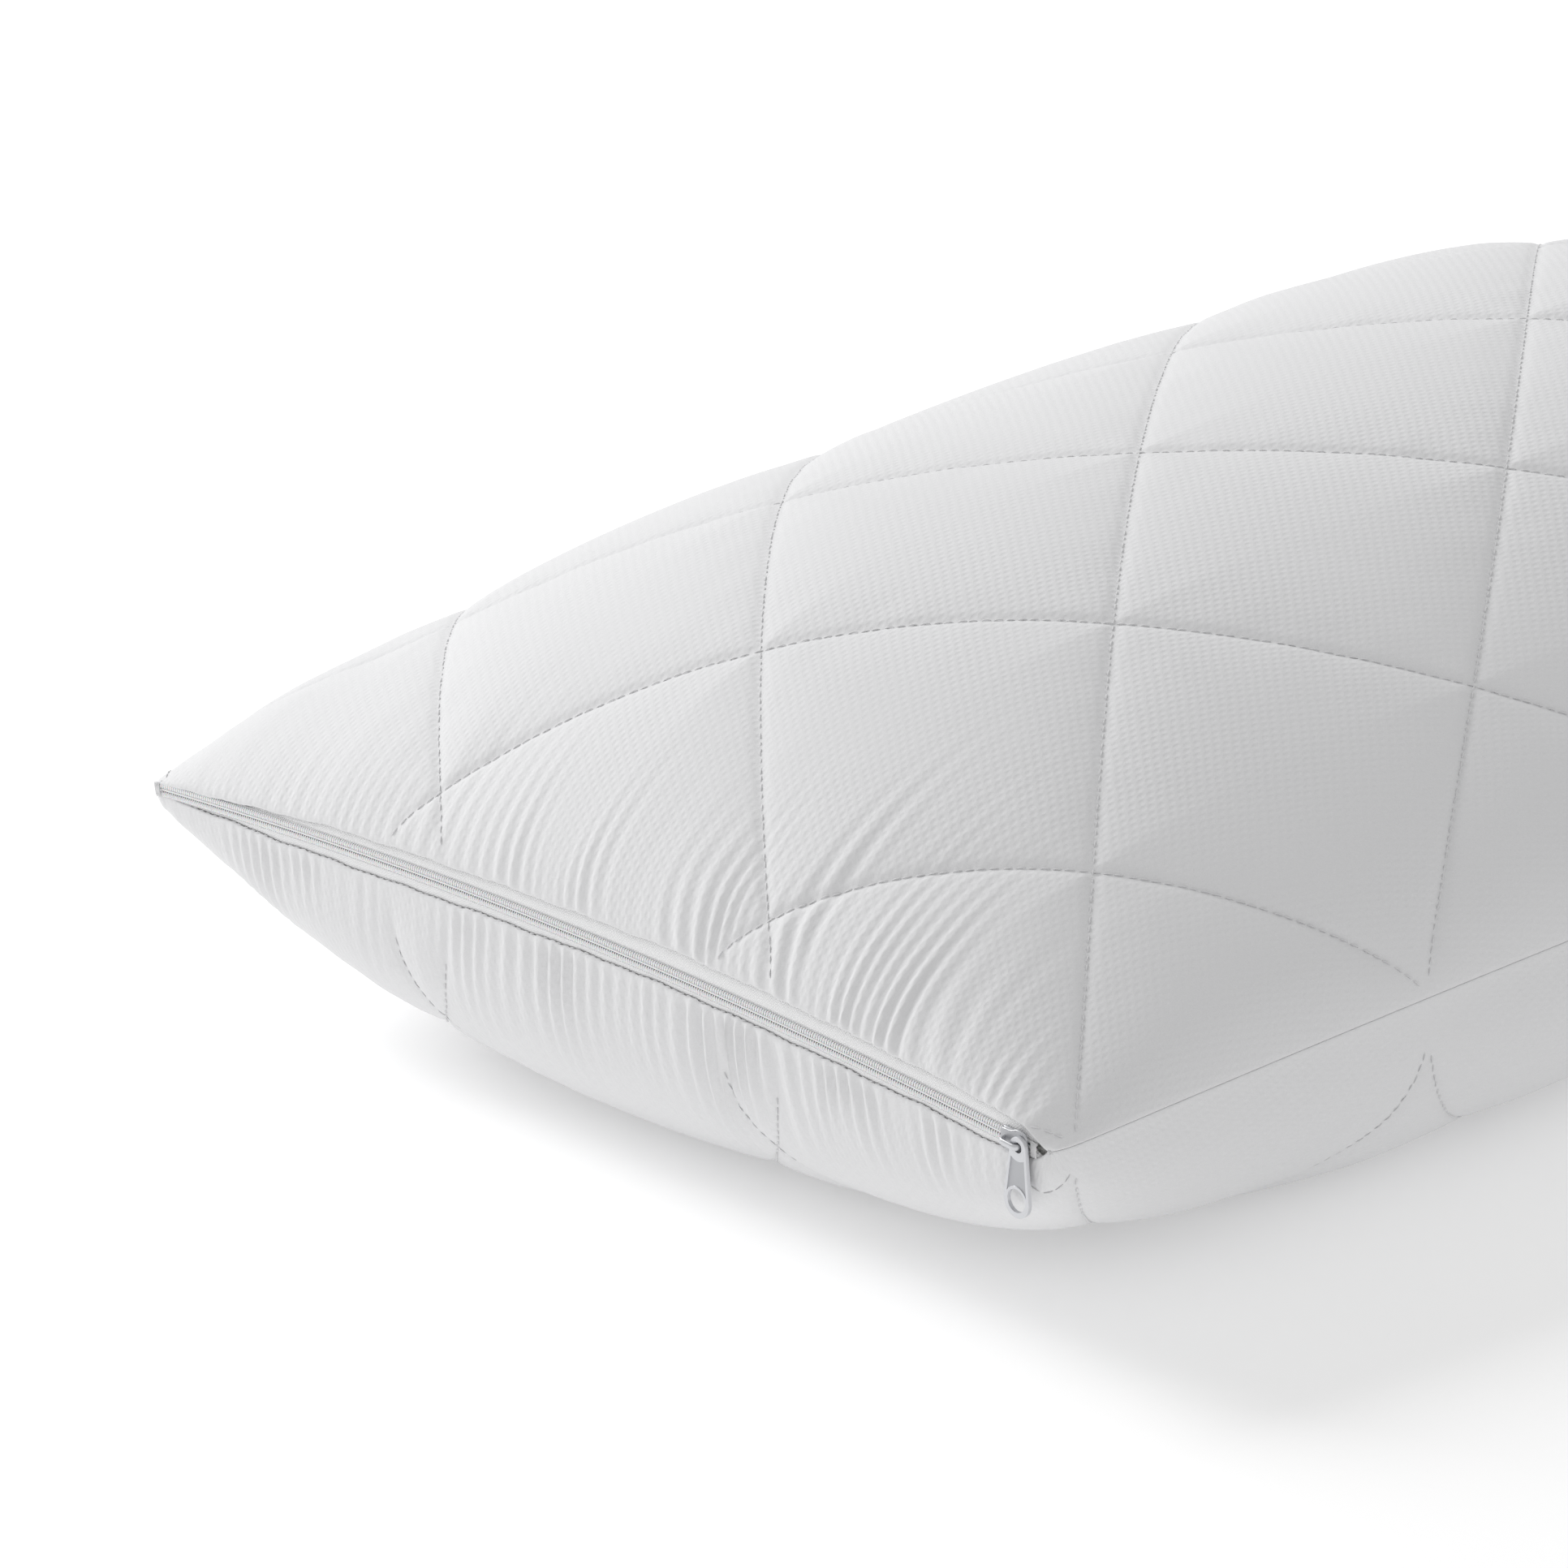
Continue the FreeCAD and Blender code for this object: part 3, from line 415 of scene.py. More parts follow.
def vary_gloss(material, shader, factor, smooth, rough):
    """Roughness that runs between two values."""
    gloss = add_node(material, "ShaderNodeMapRange", [("Value", factor)], To_Min=smooth, To_Max=rough)
    material.node_tree.links.new(gloss.outputs["Result"], shader.inputs["Roughness"])


# Brushed white jersey: matt, with a soft bloom at grazing angles. The dimples of the knit stand
# 2.7 mm apart in slanting rows, and the nap is drawn at 0.5 mm, coarser than its real fibres.
quilted_knit, knit_shader = new_material(
    "brushed_white_jersey", "#DFDFE0", 0.88, Sheen_Weight=0.22, Sheen_Roughness=0.5, IOR=1.45
)
dimples = cell_rows(quilted_knit, 27, (0.0027, 0.0040), 0.18, (0.05, 0.5), (0.0, 1.0))
patches = object_noise(quilted_knit, 14.0, Detail=2.0)
nap = object_noise(quilted_knit, 1900.0, Detail=3.0, Roughness=0.7)
worn = add_node(quilted_knit, "ShaderNodeMath", [(0, dimples), (1, patches)], operation="MULTIPLY")
fuzz = add_node(
    quilted_knit, "ShaderNodeMath", [(0, nap), (2, worn.outputs["Value"])],
    operation="MULTIPLY_ADD", _1=0.45,
)
raise_relief(quilted_knit, knit_shader, fuzz.outputs["Value"], 0.5, 0.00045)
shade_between(quilted_knit, knit_shader, nap, "#DFDFE0", "#ECECED")


def face_fabric(name, grid, normals, side, node):
    """One panel's face fabric, from its finished grid."""
    inner = grid["points"] - normals * FACE_THICKNESS
    piece = shell(name, grid["points"], inner, side, cloth_uv(grid))
    hand_over(piece, quilted_knit, "pillow", "quilted_knit", node, fill=0.7)


top = panel_grid(1, 1.35, 2.3, 1.3, 70)
top_normal = grid_normals(top["points"], 1)
face_fabric("quilted_top_face", top, top_normal, 1, "cover_top_face")

# ---- quilted bottom panel: knitted face --------------------------------------------------------
# The same knit under the pillow. It hangs steeply from the zip and side seams, then lies flat
# where the pillow's weight presses it on what it stands on.

bottom = panel_grid(-1, 1.35, 2.5, 1.3, 70)
bottom_normal = grid_normals(bottom["points"], -1)
face_fabric("quilted_bottom_face", bottom, bottom_normal, -1, "cover_bottom_face")

# ---- wadding, backing, liner and filling -------------------------------------------------------
# Under each knitted face lie a loft of bonded polyester wadding and a thin backing cloth, held by
# the same quilting. Inside is the inner pillow: a sewn cotton-like liner full of loose fibre.


def ply_surface(side, depth, inset, sunk):
    """A coarse grid of one smooth surface of an inner ply, drawn in a little at the quilting."""
    steps = (6.0, 6.0, 0, 0)
    xs, _, ys, _ = plan_steps(side, depth, inset, steps, steps)
    kept = slice(TURNED_ROWS, -TURNED_ROWS)
    x, y = np.meshgrid(xs[kept], ys[kept], indexing="ij")
    corner = np.abs(x / HALF_WIDTH) ** 40 * np.abs(y / HALF_LENGTH) ** 40 * 4.0
    z = base_height(x, y, side, depth, inset)
    points = np.stack([x - np.sign(x) * corner, y - np.sign(y) * corner, z], axis=2)
    near, other = quilt_distance(points, x, y)
    line = np.minimum(near, other)
    edge = np.minimum(HALF_WIDTH - inset - np.abs(x), HALF_LENGTH - inset - np.abs(y))
    pull = sunk * np.exp(-line / 17.0) * (1 - np.exp(-((edge / 16.0) ** 2)))
    points = points - grid_normals(points, side) * pull[:, :, None]
    if side < 0:
        low = max(depth, 0.0)
        points[:, :, 2] = low + SETTLE * np.logaddexp(0, (points[:, :, 2] - low) / SETTLE)
    return points


def ply(name, side, depth, thickness, inset, sunk, material, node, slot):
    """A closed inner ply between two depths."""
    outer = ply_surface(side, depth, inset, sunk)
    inner = outer - grid_normals(outer, side) * thickness
    if side < 0:
        inner[:, :, 2] = np.maximum(inner[:, :, 2], outer[:, :, 2].min() + thickness * 0.5)
    hand_over(shell(name, outer, inner, side), material, "pillow", slot, node, fill=0.5)


def fibrous(name, colour, scale, distance, sheen):
    """A matt material of matted or woven fibres whose relief repeats at a real spacing."""
    material, shader = new_material(name, colour, 0.95, Sheen_Weight=sheen, IOR=1.5)
    fibres = object_noise(material, scale, Detail=4.0, Roughness=0.65, Distortion=1.2)
    raise_relief(material, shader, fibres, 0.6, distance)
    return material


# Thermally bonded wadding: white, matt, a felted web about 3 mm from clump to clump.
wadding_web = fibrous("bonded_polyester_wadding", "#F4F4F1", 330.0, 0.0012, 0.3)
# Spunbond backing: thin, with a pressed web at about 1 mm.
spunbond = fibrous("spunbond_polyester_backing", "#F0F0EE", 900.0, 0.0003, 0.1)
# Plain-woven liner percale; its 0.4 mm threads are drawn at 0.7 mm.
percale = fibrous("plain_woven_percale", "#F3F3F1", 1400.0, 0.0002, 0.1)
# Hollow siliconised polyester fibre: curly clumps about 8 mm across.
fibrefill = fibrous("hollow_polyester_fibre", "#F8F8F6", 130.0, 0.003, 0.4)

for side, name in ((1, "top"), (-1, "bottom")):
    ply(f"wadding_{name}", side, 1.8, 3.6, 3.6, 1.2, wadding_web, f"cover_{name}_wadding", "wadding")
    ply(f"backing_{name}", side, 6.6, 0.5, 8.0, 0.6, spunbond, f"cover_{name}_backing", "backing_cloth")
    ply(f"inner_liner_{name}", side, 8.0, 0.5, 10.5, 0.3, percale, f"liner_{name}", "liner_cloth")

fill_top = ply_surface(1, 9.4, 12.0, 0.0)
fill_bottom = ply_surface(-1, 9.4, 12.0, 0.0)


def closed_pair(name, upper, lower):
    """A closed body between an upper and a lower grid that need not have the same counts."""
    rows = min(upper.shape[0], lower.shape[0])
    columns = min(upper.shape[1], lower.shape[1])

    def sampled(grid):
        i = np.linspace(0, grid.shape[0] - 1, rows)
        j = np.linspace(0, grid.shape[1] - 1, columns)
        a, b = np.floor(i).astype(int), np.floor(j).astype(int)
        a2, b2 = np.minimum(a + 1, grid.shape[0] - 1), np.minimum(b + 1, grid.shape[1] - 1)
        f, g = (i - a)[:, None, None], (j - b)[None, :, None]
        low = grid[a][:, b] * (1 - g) + grid[a][:, b2] * g
        high = grid[a2][:, b] * (1 - g) + grid[a2][:, b2] * g
        return low * (1 - f) + high * f

    return shell(name, sampled(upper), sampled(lower), 1)


filling = closed_pair("fibre_filling", fill_top, fill_bottom)
hand_over(filling, fibrefill, "pillow", "polyester_fibre", "filling", fill=0.85)

# ---- quilting stitches -------------------------------------------------------------------------
# White spun-polyester thread. Each visible stitch is a little over 3 mm long and dives into the
# cloth at both ends, and each lies a few degrees askew of its line.

QUILT_PITCH, QUILT_STITCH = 4.3, 3.3


def surface_at(grid, x, y, normals):
    """Points and normals of a finished panel at places in plan."""
    kept = slice(TURNED_ROWS, -TURNED_ROWS)
    xs, ys = grid["xs"][kept], grid["ys"][kept]
    i = np.interp(x, xs, np.arange(len(xs))) + TURNED_ROWS
    j = np.interp(y, ys, np.arange(len(ys))) + TURNED_ROWS
    a, b = np.floor(i).astype(int), np.floor(j).astype(int)
    f, g = (i - a)[:, None], (j - b)[:, None]

    def mix(field):
        low = field[a, b] * (1 - g) + field[a, b + 1] * g
        high = field[a + 1, b] * (1 - g) + field[a + 1, b + 1] * g
        return low * (1 - f) + high * f

    return mix(grid["points"]), mix(normals)


def stitch_shape(rings, sides):
    """A stitch of unit length, width and height: a rounded strand that dips at both ends."""
    t = np.linspace(-0.5, 0.5, rings)
    lift = np.sqrt(np.clip(1 - (2 * t) ** 2, 0, 1))
    girth = np.clip(1 - (2 * np.abs(t)) ** 6, 0.35, 1)
    angle = np.arange(sides) * 2 * math.pi / sides
    ring = np.stack([np.zeros(sides), np.cos(angle) * 0.5, np.sin(angle) * 0.5], axis=1)
    points = ring[None] * girth[:, None, None]
    points[:, :, 0] = t[:, None]
    points[:, :, 2] = points[:, :, 2] * 0.8 + (lift * 0.55 - 0.28)[:, None]
    faces = []
    for k in range(rings - 1):
        for n in range(sides):
            m = (n + 1) % sides
            faces.append((k * sides + n, k * sides + m, (k + 1) * sides + m, (k + 1) * sides + n))
    points = np.concatenate([points.reshape(-1, 3), [[-0.5, 0, -0.3], [0.5, 0, -0.3]]])
    tail, head, last = rings * sides, rings * sides + 1, (rings - 1) * sides
    for n in range(sides):
        m = (n + 1) % sides
        faces.append((tail, m, n, tail))
        faces.append((head, last + n, last + m, head))
    return points, faces


def mixed_mesh(name, points, faces):
    """An object from points in millimetres and faces that differ in their number of corners."""
    mesh = bpy.data.meshes.new(name)
    mesh.from_pydata((points * MM).tolist(), [], faces)
    return linked(name, mesh)


def strands(name, shape, places, size):
    """One mesh of many copies of a strand: places holds an origin and three axes for each."""
    points, faces = shape
    everything = []
    quads = np.array([f for f in faces if f[0] != f[3]])
    caps = np.array([f[:3] for f in faces if f[0] == f[3]])
    for origin, along, across, out in places:
        everything.append(origin + points[:, :1] * along * size[0] + points[:, 1:2] * across * size[1]
                          + points[:, 2:] * out * size[2])
    count = len(points)
    starts = np.arange(len(places))[:, None, None] * count
    all_quads = (quads[None] + starts).reshape(-1, 4)
    all_caps = (caps[None] + starts).reshape(-1, 3)
    return mixed_mesh(name, np.concatenate(everything), all_quads.tolist() + all_caps.tolist())


def spread_stitches(points, normals, pitch, length, lift, sway=0.0):
    """Places for stitches along a line that lies on the cloth."""
    steps = np.linalg.norm(np.diff(points, axis=0), axis=1)
    walk = np.concatenate([[0], np.cumsum(steps)])
    places = []
    at = pitch * 0.5
    while at + length / 2 < walk[-1]:
        jitter = dice.uniform(-0.12, 0.12) * pitch
        marks = np.array([at - length / 2, at, at + length / 2]) + jitter
        p = np.stack([np.interp(marks, walk, points[:, k]) for k in range(3)], axis=1)
        out = np.array([np.interp(marks[1], walk, normals[:, k]) for k in range(3)])
        out /= np.linalg.norm(out)
        along = p[2] - p[0]
        along /= max(np.linalg.norm(along), 1e-9)
        across = np.cross(out, along)
        twist = dice.uniform(-1, 1) * 0.05 + sway
        turned = along + across * twist
        places.append((p[1] + out * lift, turned, across, out))
        at += pitch
    return places


def quilt_runs(grid, normals):
    """Each quilting line of a panel as points on the finished cloth."""
    found = []
    for lean in (1, -1):
        for row in range(-7, 8):
            u = np.linspace(1.0, 2 * CLOTH_X - 1, 900)
            v = QUILT_FIRST + row * QUILT_ALONG + lean * QUILT_ALONG * (u / QUILT_ACROSS - 1)
            keep = (v > 1.0) & (v < 2 * CLOTH_Y - 1)
            if keep.sum() < 20:
                continue
            x, y = plan_place(u[keep], v[keep])
            p, n = surface_at(grid, x, y, normals)
            found.append((lean, p, n))
    return found


# Spun polyester sewing thread: soft white, low gloss, with a twist drawn at about 2 mm.
thread_white, thread_shader = new_material(
    "spun_polyester_thread", "#DEDEDF", 0.55, Sheen_Weight=0.3, IOR=1.5
)
thread_place = add_node(thread_white, "ShaderNodeTexCoord")
twist = add_node(
    thread_white, "ShaderNodeTexWave", [("Vector", thread_place.outputs["Object"])],
    wave_type="BANDS", bands_direction="DIAGONAL", Scale=320.0, Distortion=1.5,
)
raise_relief(thread_white, thread_shader, twist.outputs["Fac"], 0.4, 0.0001)


def sew(name, shape, places, size, node):
    """A row of thread stitches on the pillow."""
    hand_over(strands(name, shape, places, size), thread_white, "pillow", "thread", node)


for grid, normals, label in ((top, top_normal, "top"), (bottom, bottom_normal, "bottom")):
    places = []
    for lean, p, n in quilt_runs(grid, normals):
        above = p[:, 2] > 3.0 if label == "bottom" else np.ones(len(p), bool)
        edges = np.flatnonzero(np.diff(np.concatenate([[0], above.astype(int), [0]])))
        for first, last in zip(edges[::2], edges[1::2]):
            if last - first > 6:
                askew = 0.06 * lean
                run = (p[first:last], n[first:last])
                places += spread_stitches(*run, QUILT_PITCH, QUILT_STITCH, 0.17, askew)
    size = (QUILT_STITCH, 0.62, 0.62)
    sew(f"quilting_stitches_{label}", stitch_shape(5, 6), places, size, f"quilting_thread_{label}")

# ---- seam stitching ----------------------------------------------------------------------------
# The lockstitch that joins the two panels along the three sewn sides, just inside the turned
# edges, and the one that closes the inner pillow's liner all round.

SEAM_PITCH, SEAM_STITCH = 3.0, 2.5


def seam_run(inset, sides):
    """Places for the stitches of a seam, along the chosen sides."""
    wide, deep = HALF_WIDTH - inset, HALF_LENGTH - inset
    span = np.linspace(-1, 1, 300)
    lines = {
        "left": (np.full(300, -wide), span * (deep - 14)),
        "right": (np.full(300, wide), span * (deep - 14)),
        "far": (span * (wide - 14), np.full(300, deep)),
        "zip": (span * (wide - 14), np.full(300, -deep)),
    }
    places = []
    for name in sides:
        x, y = lines[name]
        outward = {"left": (-1, 0, 0), "right": (1, 0, 0), "far": (0, 1, 0), "zip": (0, -1, 0)}[name]
        normals = np.tile(np.array(outward, float), (300, 1))
        points = np.stack([x, y, seam_height(x, y)], axis=1)
        places += spread_stitches(points, normals, SEAM_PITCH, SEAM_STITCH, 0.0)
    return places


for label, inset, sides in (
    ("side", 9.1, ("left", "right", "far")),
    ("liner", 10.0, ("left", "right", "far", "zip")),
):
    size = (SEAM_STITCH, 0.6, 0.6)
    sew(f"{label}_seam_stitches", stitch_shape(4, 5), seam_run(inset, sides), size, f"{label}_seam_thread")

# ---- zip tapes ---------------------------------------------------------------------------------
# Two woven polyester tapes, 0.5 mm thick, one sewn under each turned edge. The upper one shows
# for up to 9 mm beside the coil, the lower for up to 7 mm; their far edges run on inside.

TAPE_FACE, COIL_FACE = -346.2, -347.8
TAPE_END, TAPE_THICKNESS = 234.0, 0.5


def tape_half(name, side, node):
    """One tape from beside the coil to its hidden edge inside the cover."""
    x = np.linspace(-TAPE_END, TAPE_END, 330)
    middle = zip_line(x)
    shown = np.array([zip_opening(value, side) for value in x])
    across = np.array([0.0, 0.12, 0.3, 0.5, 0.7, 0.88, 1.0])
    parted = 0.3 + 1.9 * np.clip((x - 229.5) / 4, 0, 1) ** 1.5
    outer = []
    for share in across:
        swell = 0.85 * math.sin(math.pi * share)
        drop = parted + (shown - parted) * share
        outer.append(np.stack([x, np.full_like(x, TAPE_FACE - swell), middle + side * drop], axis=1))
    taper = np.maximum(1 - (x / HALF_WIDTH) ** 2, 0.05)
    for hidden in (1.5, 3.0, 4.5):
        extra = hidden * np.clip(taper / 0.4, 0.05, 1)
        if side > 0:
            setback = HALF_LENGTH / ENDS_POWER * (extra / CREST) ** (1 / TOP_POWER) / taper + 0.12 * extra
        else:
            setback = 0.20 * extra
        y = TAPE_FACE + 0.15 + setback
        outer.append(np.stack([x, y, middle + side * (shown + extra)], axis=1))
    outer = np.stack(outer, axis=1)
    outer[:, :, 1] += (3.5 * np.abs(x / HALF_WIDTH) ** 60)[:, None]
    inner = outer + np.array([0.0, TAPE_THICKNESS, 0.0])
    wide = np.linalg.norm(np.diff(outer, axis=1), axis=2)
    v = np.concatenate([np.zeros((len(x), 1)), np.cumsum(wide, axis=1)], axis=1)
    u = np.repeat(x[:, None], outer.shape[1], axis=1)
    piece = shell(name, outer, inner, side, np.stack([u, v], axis=2))
    hand_over(piece, woven_tape, "pillow", "zip_tape", node)


# Woven polyester tape in herringbone: small raised floats 0.8 to 0.95 mm apart in slanting rows,
# all drawn with one slant; a little glossier than the knit. The float pattern also sets the colour:
# white on the float tops as painted highlight, greyer in the gaps between them as painted shade.
woven_tape, tape_shader = new_material(
    "herringbone_polyester_tape", "#EFEFF0", 0.62, Sheen_Weight=0.15, IOR=1.5
)
float_relief_and_shade = cell_rows(woven_tape, 38, (0.00095, 0.0008), 0.3, (0.1, 0.55), (1.0, 0.0))
raise_relief(woven_tape, tape_shader, float_relief_and_shade, 0.55, 0.0003)
# colour follows the float relief: painted highlight on the tops, painted shade in the gaps
shade_between(woven_tape, tape_shader, float_relief_and_shade, "#EDEDEE", "#FFFFFF")

tape_half("zip_tape_above", 1, "zipper_tape_upper")
tape_half("zip_tape_below", -1, "zipper_tape_lower")

# ---- zip coils ---------------------------------------------------------------------------------
# Two nylon monofilament coils, 1.15 mm from turn to turn, meshed along the middle. Each turn shows
# as a bright slanting loop; a cord inside each coil fills the hollow of its turns.

COIL_START, COIL_END, COIL_PITCH = -232.5, 229.5, 1.15
COIL_OFFSET = 1.6  # zip centre line to the middle of each coil
OUTWARD = np.array([0.0, -1.0, 0.0])


def along_zip(x):
    """Point on the zip's line with its direction along the arc and its upward direction."""
    turn = np.arcsin(x / ZIP_RADIUS)
    c, s = math.cos(turn), math.sin(turn)
    return np.array([x, 0.0, float(zip_line(x))]), np.array([c, 0.0, -s]), np.array([s, 0.0, c])


def laid_along(centre, along):
    """Origin and axes of a strand that lies on the zip in a given direction."""
    along = along / np.linalg.norm(along)
    return centre, along, np.cross(OUTWARD, along), OUTWARD


def coil_turns(name, side, node):
    """One row of slanting turns."""
    places = []
    for k in range(int((COIL_END - COIL_START) / COIL_PITCH)):
        x = COIL_START + (k + (0.5 if side < 0 else 0.0)) * COIL_PITCH
        place, forward, up = along_zip(x)
        centre = place + up * side * COIL_OFFSET + np.array([0, COIL_FACE + 0.42, 0])
        places.append(laid_along(centre, up * side + forward * 0.34))
    piece = strands(name, stitch_shape(6, 6), places, (2.5, 0.84, 0.86))
    hand_over(piece, nylon, "pillow", "zip_coil", node)


# Nylon 6 monofilament, heat set: translucent white with a soft gloss.
nylon, nylon_shader = new_material(
    "heat_set_nylon", "#F4F4F5", 0.34, IOR=1.53, Subsurface_Weight=0.15, Subsurface_Scale=0.0008
)
vary_gloss(nylon, nylon_shader, object_noise(nylon, 1500.0, Detail=1.0), 0.28, 0.44)

coil_turns("coil_turns_above", 1, "zipper_coil_upper")
coil_turns("coil_turns_below", -1, "zipper_coil_lower")


def zip_cord(name, offset, y, radius, material):
    """A round cord that follows the zip at one distance from its centre line."""
    sides, rows = 8, 220
    angles = np.arange(sides) * math.pi / 4
    rings = []
    for x in np.linspace(-233.0, 233.0, rows):
        place, _, up = along_zip(x)
        centre = place + up * offset + np.array([0, y, 0])
        rings.append([centre + radius * (up * math.cos(a) + OUTWARD * math.sin(a)) for a in angles])
    number = np.arange(rows * sides).reshape(rows, sides)
    turn_on = np.roll(number, -1, axis=1)
    quads = np.stack([number[:-1], turn_on[:-1], turn_on[1:], number[1:]], axis=2).reshape(-1, 4)
    ends = [list(number[0, ::-1]), list(number[-1])]
    piece = mixed_mesh(name, np.array(rings).reshape(-1, 3), quads.tolist() + ends)
    hand_over(piece, material, "pillow", "zip_coil")


zip_cord("meshing_line", 0.0, COIL_FACE + 0.75, 0.5, nylon)
zip_cord("coil_core_above", COIL_OFFSET, COIL_FACE + 0.85, 0.55, thread_white)
zip_cord("coil_core_below", -COIL_OFFSET, COIL_FACE + 0.85, 0.55, thread_white)

# ---- stitching that holds the coils ------------------------------------------------------------
# A row of chain stitches along the outer side of each coil binds it to its tape.


def zip_row(name, side, node):
    """A row of short stitches beside a coil."""
    places = []
    reach = 232.0
    for k in range(int(2 * reach / COIL_PITCH)):
        place, forward, up = along_zip(-reach + (k + 0.5) * COIL_PITCH)
        centre = place + up * side * 3.05 + np.array([0, COIL_FACE + 0.95, 0])
        places.append(laid_along(centre, forward + up * side * 0.18))
    sew(name, stitch_shape(4, 5), places, (1.05, 0.6, 0.6), node)


zip_row("coil_stitches_above", 1, "coil_thread_upper")
zip_row("coil_stitches_below", -1, "coil_thread_lower")

# ---- topstitch at the turned edges -------------------------------------------------------------
# The seam that holds each turned edge to its tape: small stitches 3.6 mm apart that sit in the
# crease between fabric and tape.


def edge_stitches(name, side, node):
    """The row of stitches in the crease between fabric and tape."""
    x = np.linspace(-222, 222, 700)
    place = zip_line(x) + side * (zip_opening(x, side) + 0.15)
    points = np.stack([x, np.full_like(x, TAPE_FACE - 0.35), place], axis=1)
    normals = np.tile(np.array([0.0, -1.0, -0.6 * side]), (len(x), 1))
    places = spread_stitches(points, normals, 3.6, 2.5, 0.2, -0.12 * side)
    sew(name, stitch_shape(5, 5), places, (2.5, 0.55, 0.5), node)


edge_stitches("edge_stitches_above", 1, "zip_topstitch_upper")
edge_stitches("edge_stitches_below", -1, "zip_topstitch_lower")

# ---- bar tacks ---------------------------------------------------------------------------------
# Dense zigzag stitching over each end of the coil, which stops the slider.


def bar_tack(name, sign, node):
    """Nine threads side by side across the chain."""
    places = []
    for k in range(9):
        place, forward, up = along_zip(sign * (232.8 + (k - 4) * 0.28))
        centre = place + np.array([0, COIL_FACE - 0.32, 0])
        places.append(laid_along(centre, up + forward * (0.06 if k % 2 else -0.06)))
    sew(name, stitch_shape(7, 6), places, (5.8, 0.42, 0.55), node)


bar_tack("bar_tack_open_end", -1, "zip_end_tack_open")
bar_tack("bar_tack_closed_end", 1, "zip_end_tack_closed")

# ---- slider body -------------------------------------------------------------------------------
# Die-cast zinc, satin plated: two shield-shaped plates, wide at the nose and narrow at the tail,
# joined by a wedge under the nose. The tapes run between the plates, the coils through the middle.

SLIDER_AT = 224.0
PLATE_OUT, PLATE_IN = -349.3, -348.2
PLATE_LENGTH, PLATE_WIDTH, PLATE_STRIPS = 12.6, 10.2, 12
WEDGE_X, WEDGE_Y = 5.4, -346.85
UPRIGHT = (math.pi / 2, 0, 0)  # turns a circle or a cylinder to face along Y
slider_turn = math.asin(SLIDER_AT / ZIP_RADIUS)
slider_place = Matrix.Translation((0, 0, ZIP_AXIS * MM)) @ Matrix.Rotation(slider_turn, 4, "Y")
slider_place = slider_place @ Matrix.Translation((0, 0, ZIP_RADIUS * MM))


def mm(*lengths):
    """Lengths in millimetres as metres."""
    return tuple(length * MM for length in lengths)


def start_from(primitive, **settings):
    """Adds a primitive and bakes its place and size into its mesh."""
    bpy.ops.object.select_all(action="DESELECT")
    primitive(**settings)
    bpy.ops.object.transform_apply(location=True, rotation=True, scale=True)
    return bpy.context.object


def pick(*pieces):
    """Selects pieces and makes the first of them active."""
    bpy.ops.object.select_all(action="DESELECT")
    for piece in pieces:
        piece.select_set(True)
    bpy.context.view_layer.objects.active = pieces[0]


def choose(piece, test):
    """Selects the vertices of a piece in edit mode whose place, in millimetres, passes a test."""
    bpy.ops.mesh.select_mode(type="VERT")
    bpy.ops.mesh.select_all(action="DESELECT")
    bpy.ops.object.mode_set(mode="OBJECT")
    for vertex in piece.data.vertices:
        vertex.select = bool(test(vertex.co / MM))
    bpy.ops.object.mode_set(mode="EDIT")


def modify(piece, kind, **settings):
    """Adds a modifier to a piece and applies it."""
    bpy.ops.object.mode_set(mode="OBJECT")
    pick(piece)
    step = piece.modifiers.new(kind.lower(), kind)
    for name, setting in settings.items():
        setattr(step, name, setting)
    bpy.ops.object.modifier_apply(modifier=step.name)


def set_down(piece, name, body, node):
    """Puts a finished hard piece in its place on the slider and hands it to its body."""
    pick(piece)
    piece.name = name
    bpy.ops.object.transform_apply(location=True, rotation=True, scale=True)
    piece.data.transform(slider_place)
    bpy.ops.object.shade_smooth_by_angle(angle=math.radians(35))
    hand_over(piece, plated_zinc, body, "slider_metal", node)


def slider_plate(y_out, y_in, crown):
    """One plate: a block cut into strips whose widths follow the shield outline."""
    thick, middle = abs(y_in - y_out), (y_in + y_out) / 2
    plate = start_from(
        bpy.ops.mesh.primitive_cube_add, size=1, location=mm(0, middle, 0),
        scale=mm(PLATE_LENGTH, thick, PLATE_WIDTH),
    )
    bpy.ops.object.mode_set(mode="EDIT")
    bpy.ops.mesh.subdivide(number_cuts=PLATE_STRIPS - 1)
    shares = (0.60, 0.70, 0.71, 0.72, 0.74, 0.79, 0.88, 0.97, 1.0, 0.985, 0.94, 0.84, 0.62)
    for k, share in enumerate(shares):
        column = -PLATE_LENGTH / 2 + k * PLATE_LENGTH / PLATE_STRIPS
        choose(plate, lambda c: abs(c.x - column) < 0.1)
        bpy.ops.transform.resize(value=(1, 1, share), center_override=mm(0, middle, 0))
    for reach, push in ((3.9, 0.35), (2.6, 0.3), (1.3, 0.2)):
        choose(plate, lambda c: abs(c.y - y_out) < 0.05 and abs(c.z) < reach and abs(c.x) < 5.6)
        bpy.ops.transform.translate(value=(0, -push * crown * MM, 0))
    modify(plate, "DECIMATE", decimate_type="DISSOLVE", angle_limit=math.radians(0.5))
    modify(plate, "BEVEL", width=0.22 * MM, segments=3, limit_method="ANGLE", angle_limit=math.radians(50))
    return plate


# Satin-plated zinc: even light grey, fine tumbled grain about 0.3 mm, soft reflections.
plated_zinc, zinc_shader = new_material("satin_plated_zinc", "#D2D3D6", 0.36, Metallic=0.85)
grain = object_noise(plated_zinc, 3000.0, Detail=2.0)
vary_gloss(plated_zinc, zinc_shader, grain, 0.28, 0.46)
raise_relief(plated_zinc, zinc_shader, grain, 0.15, 0.00005)
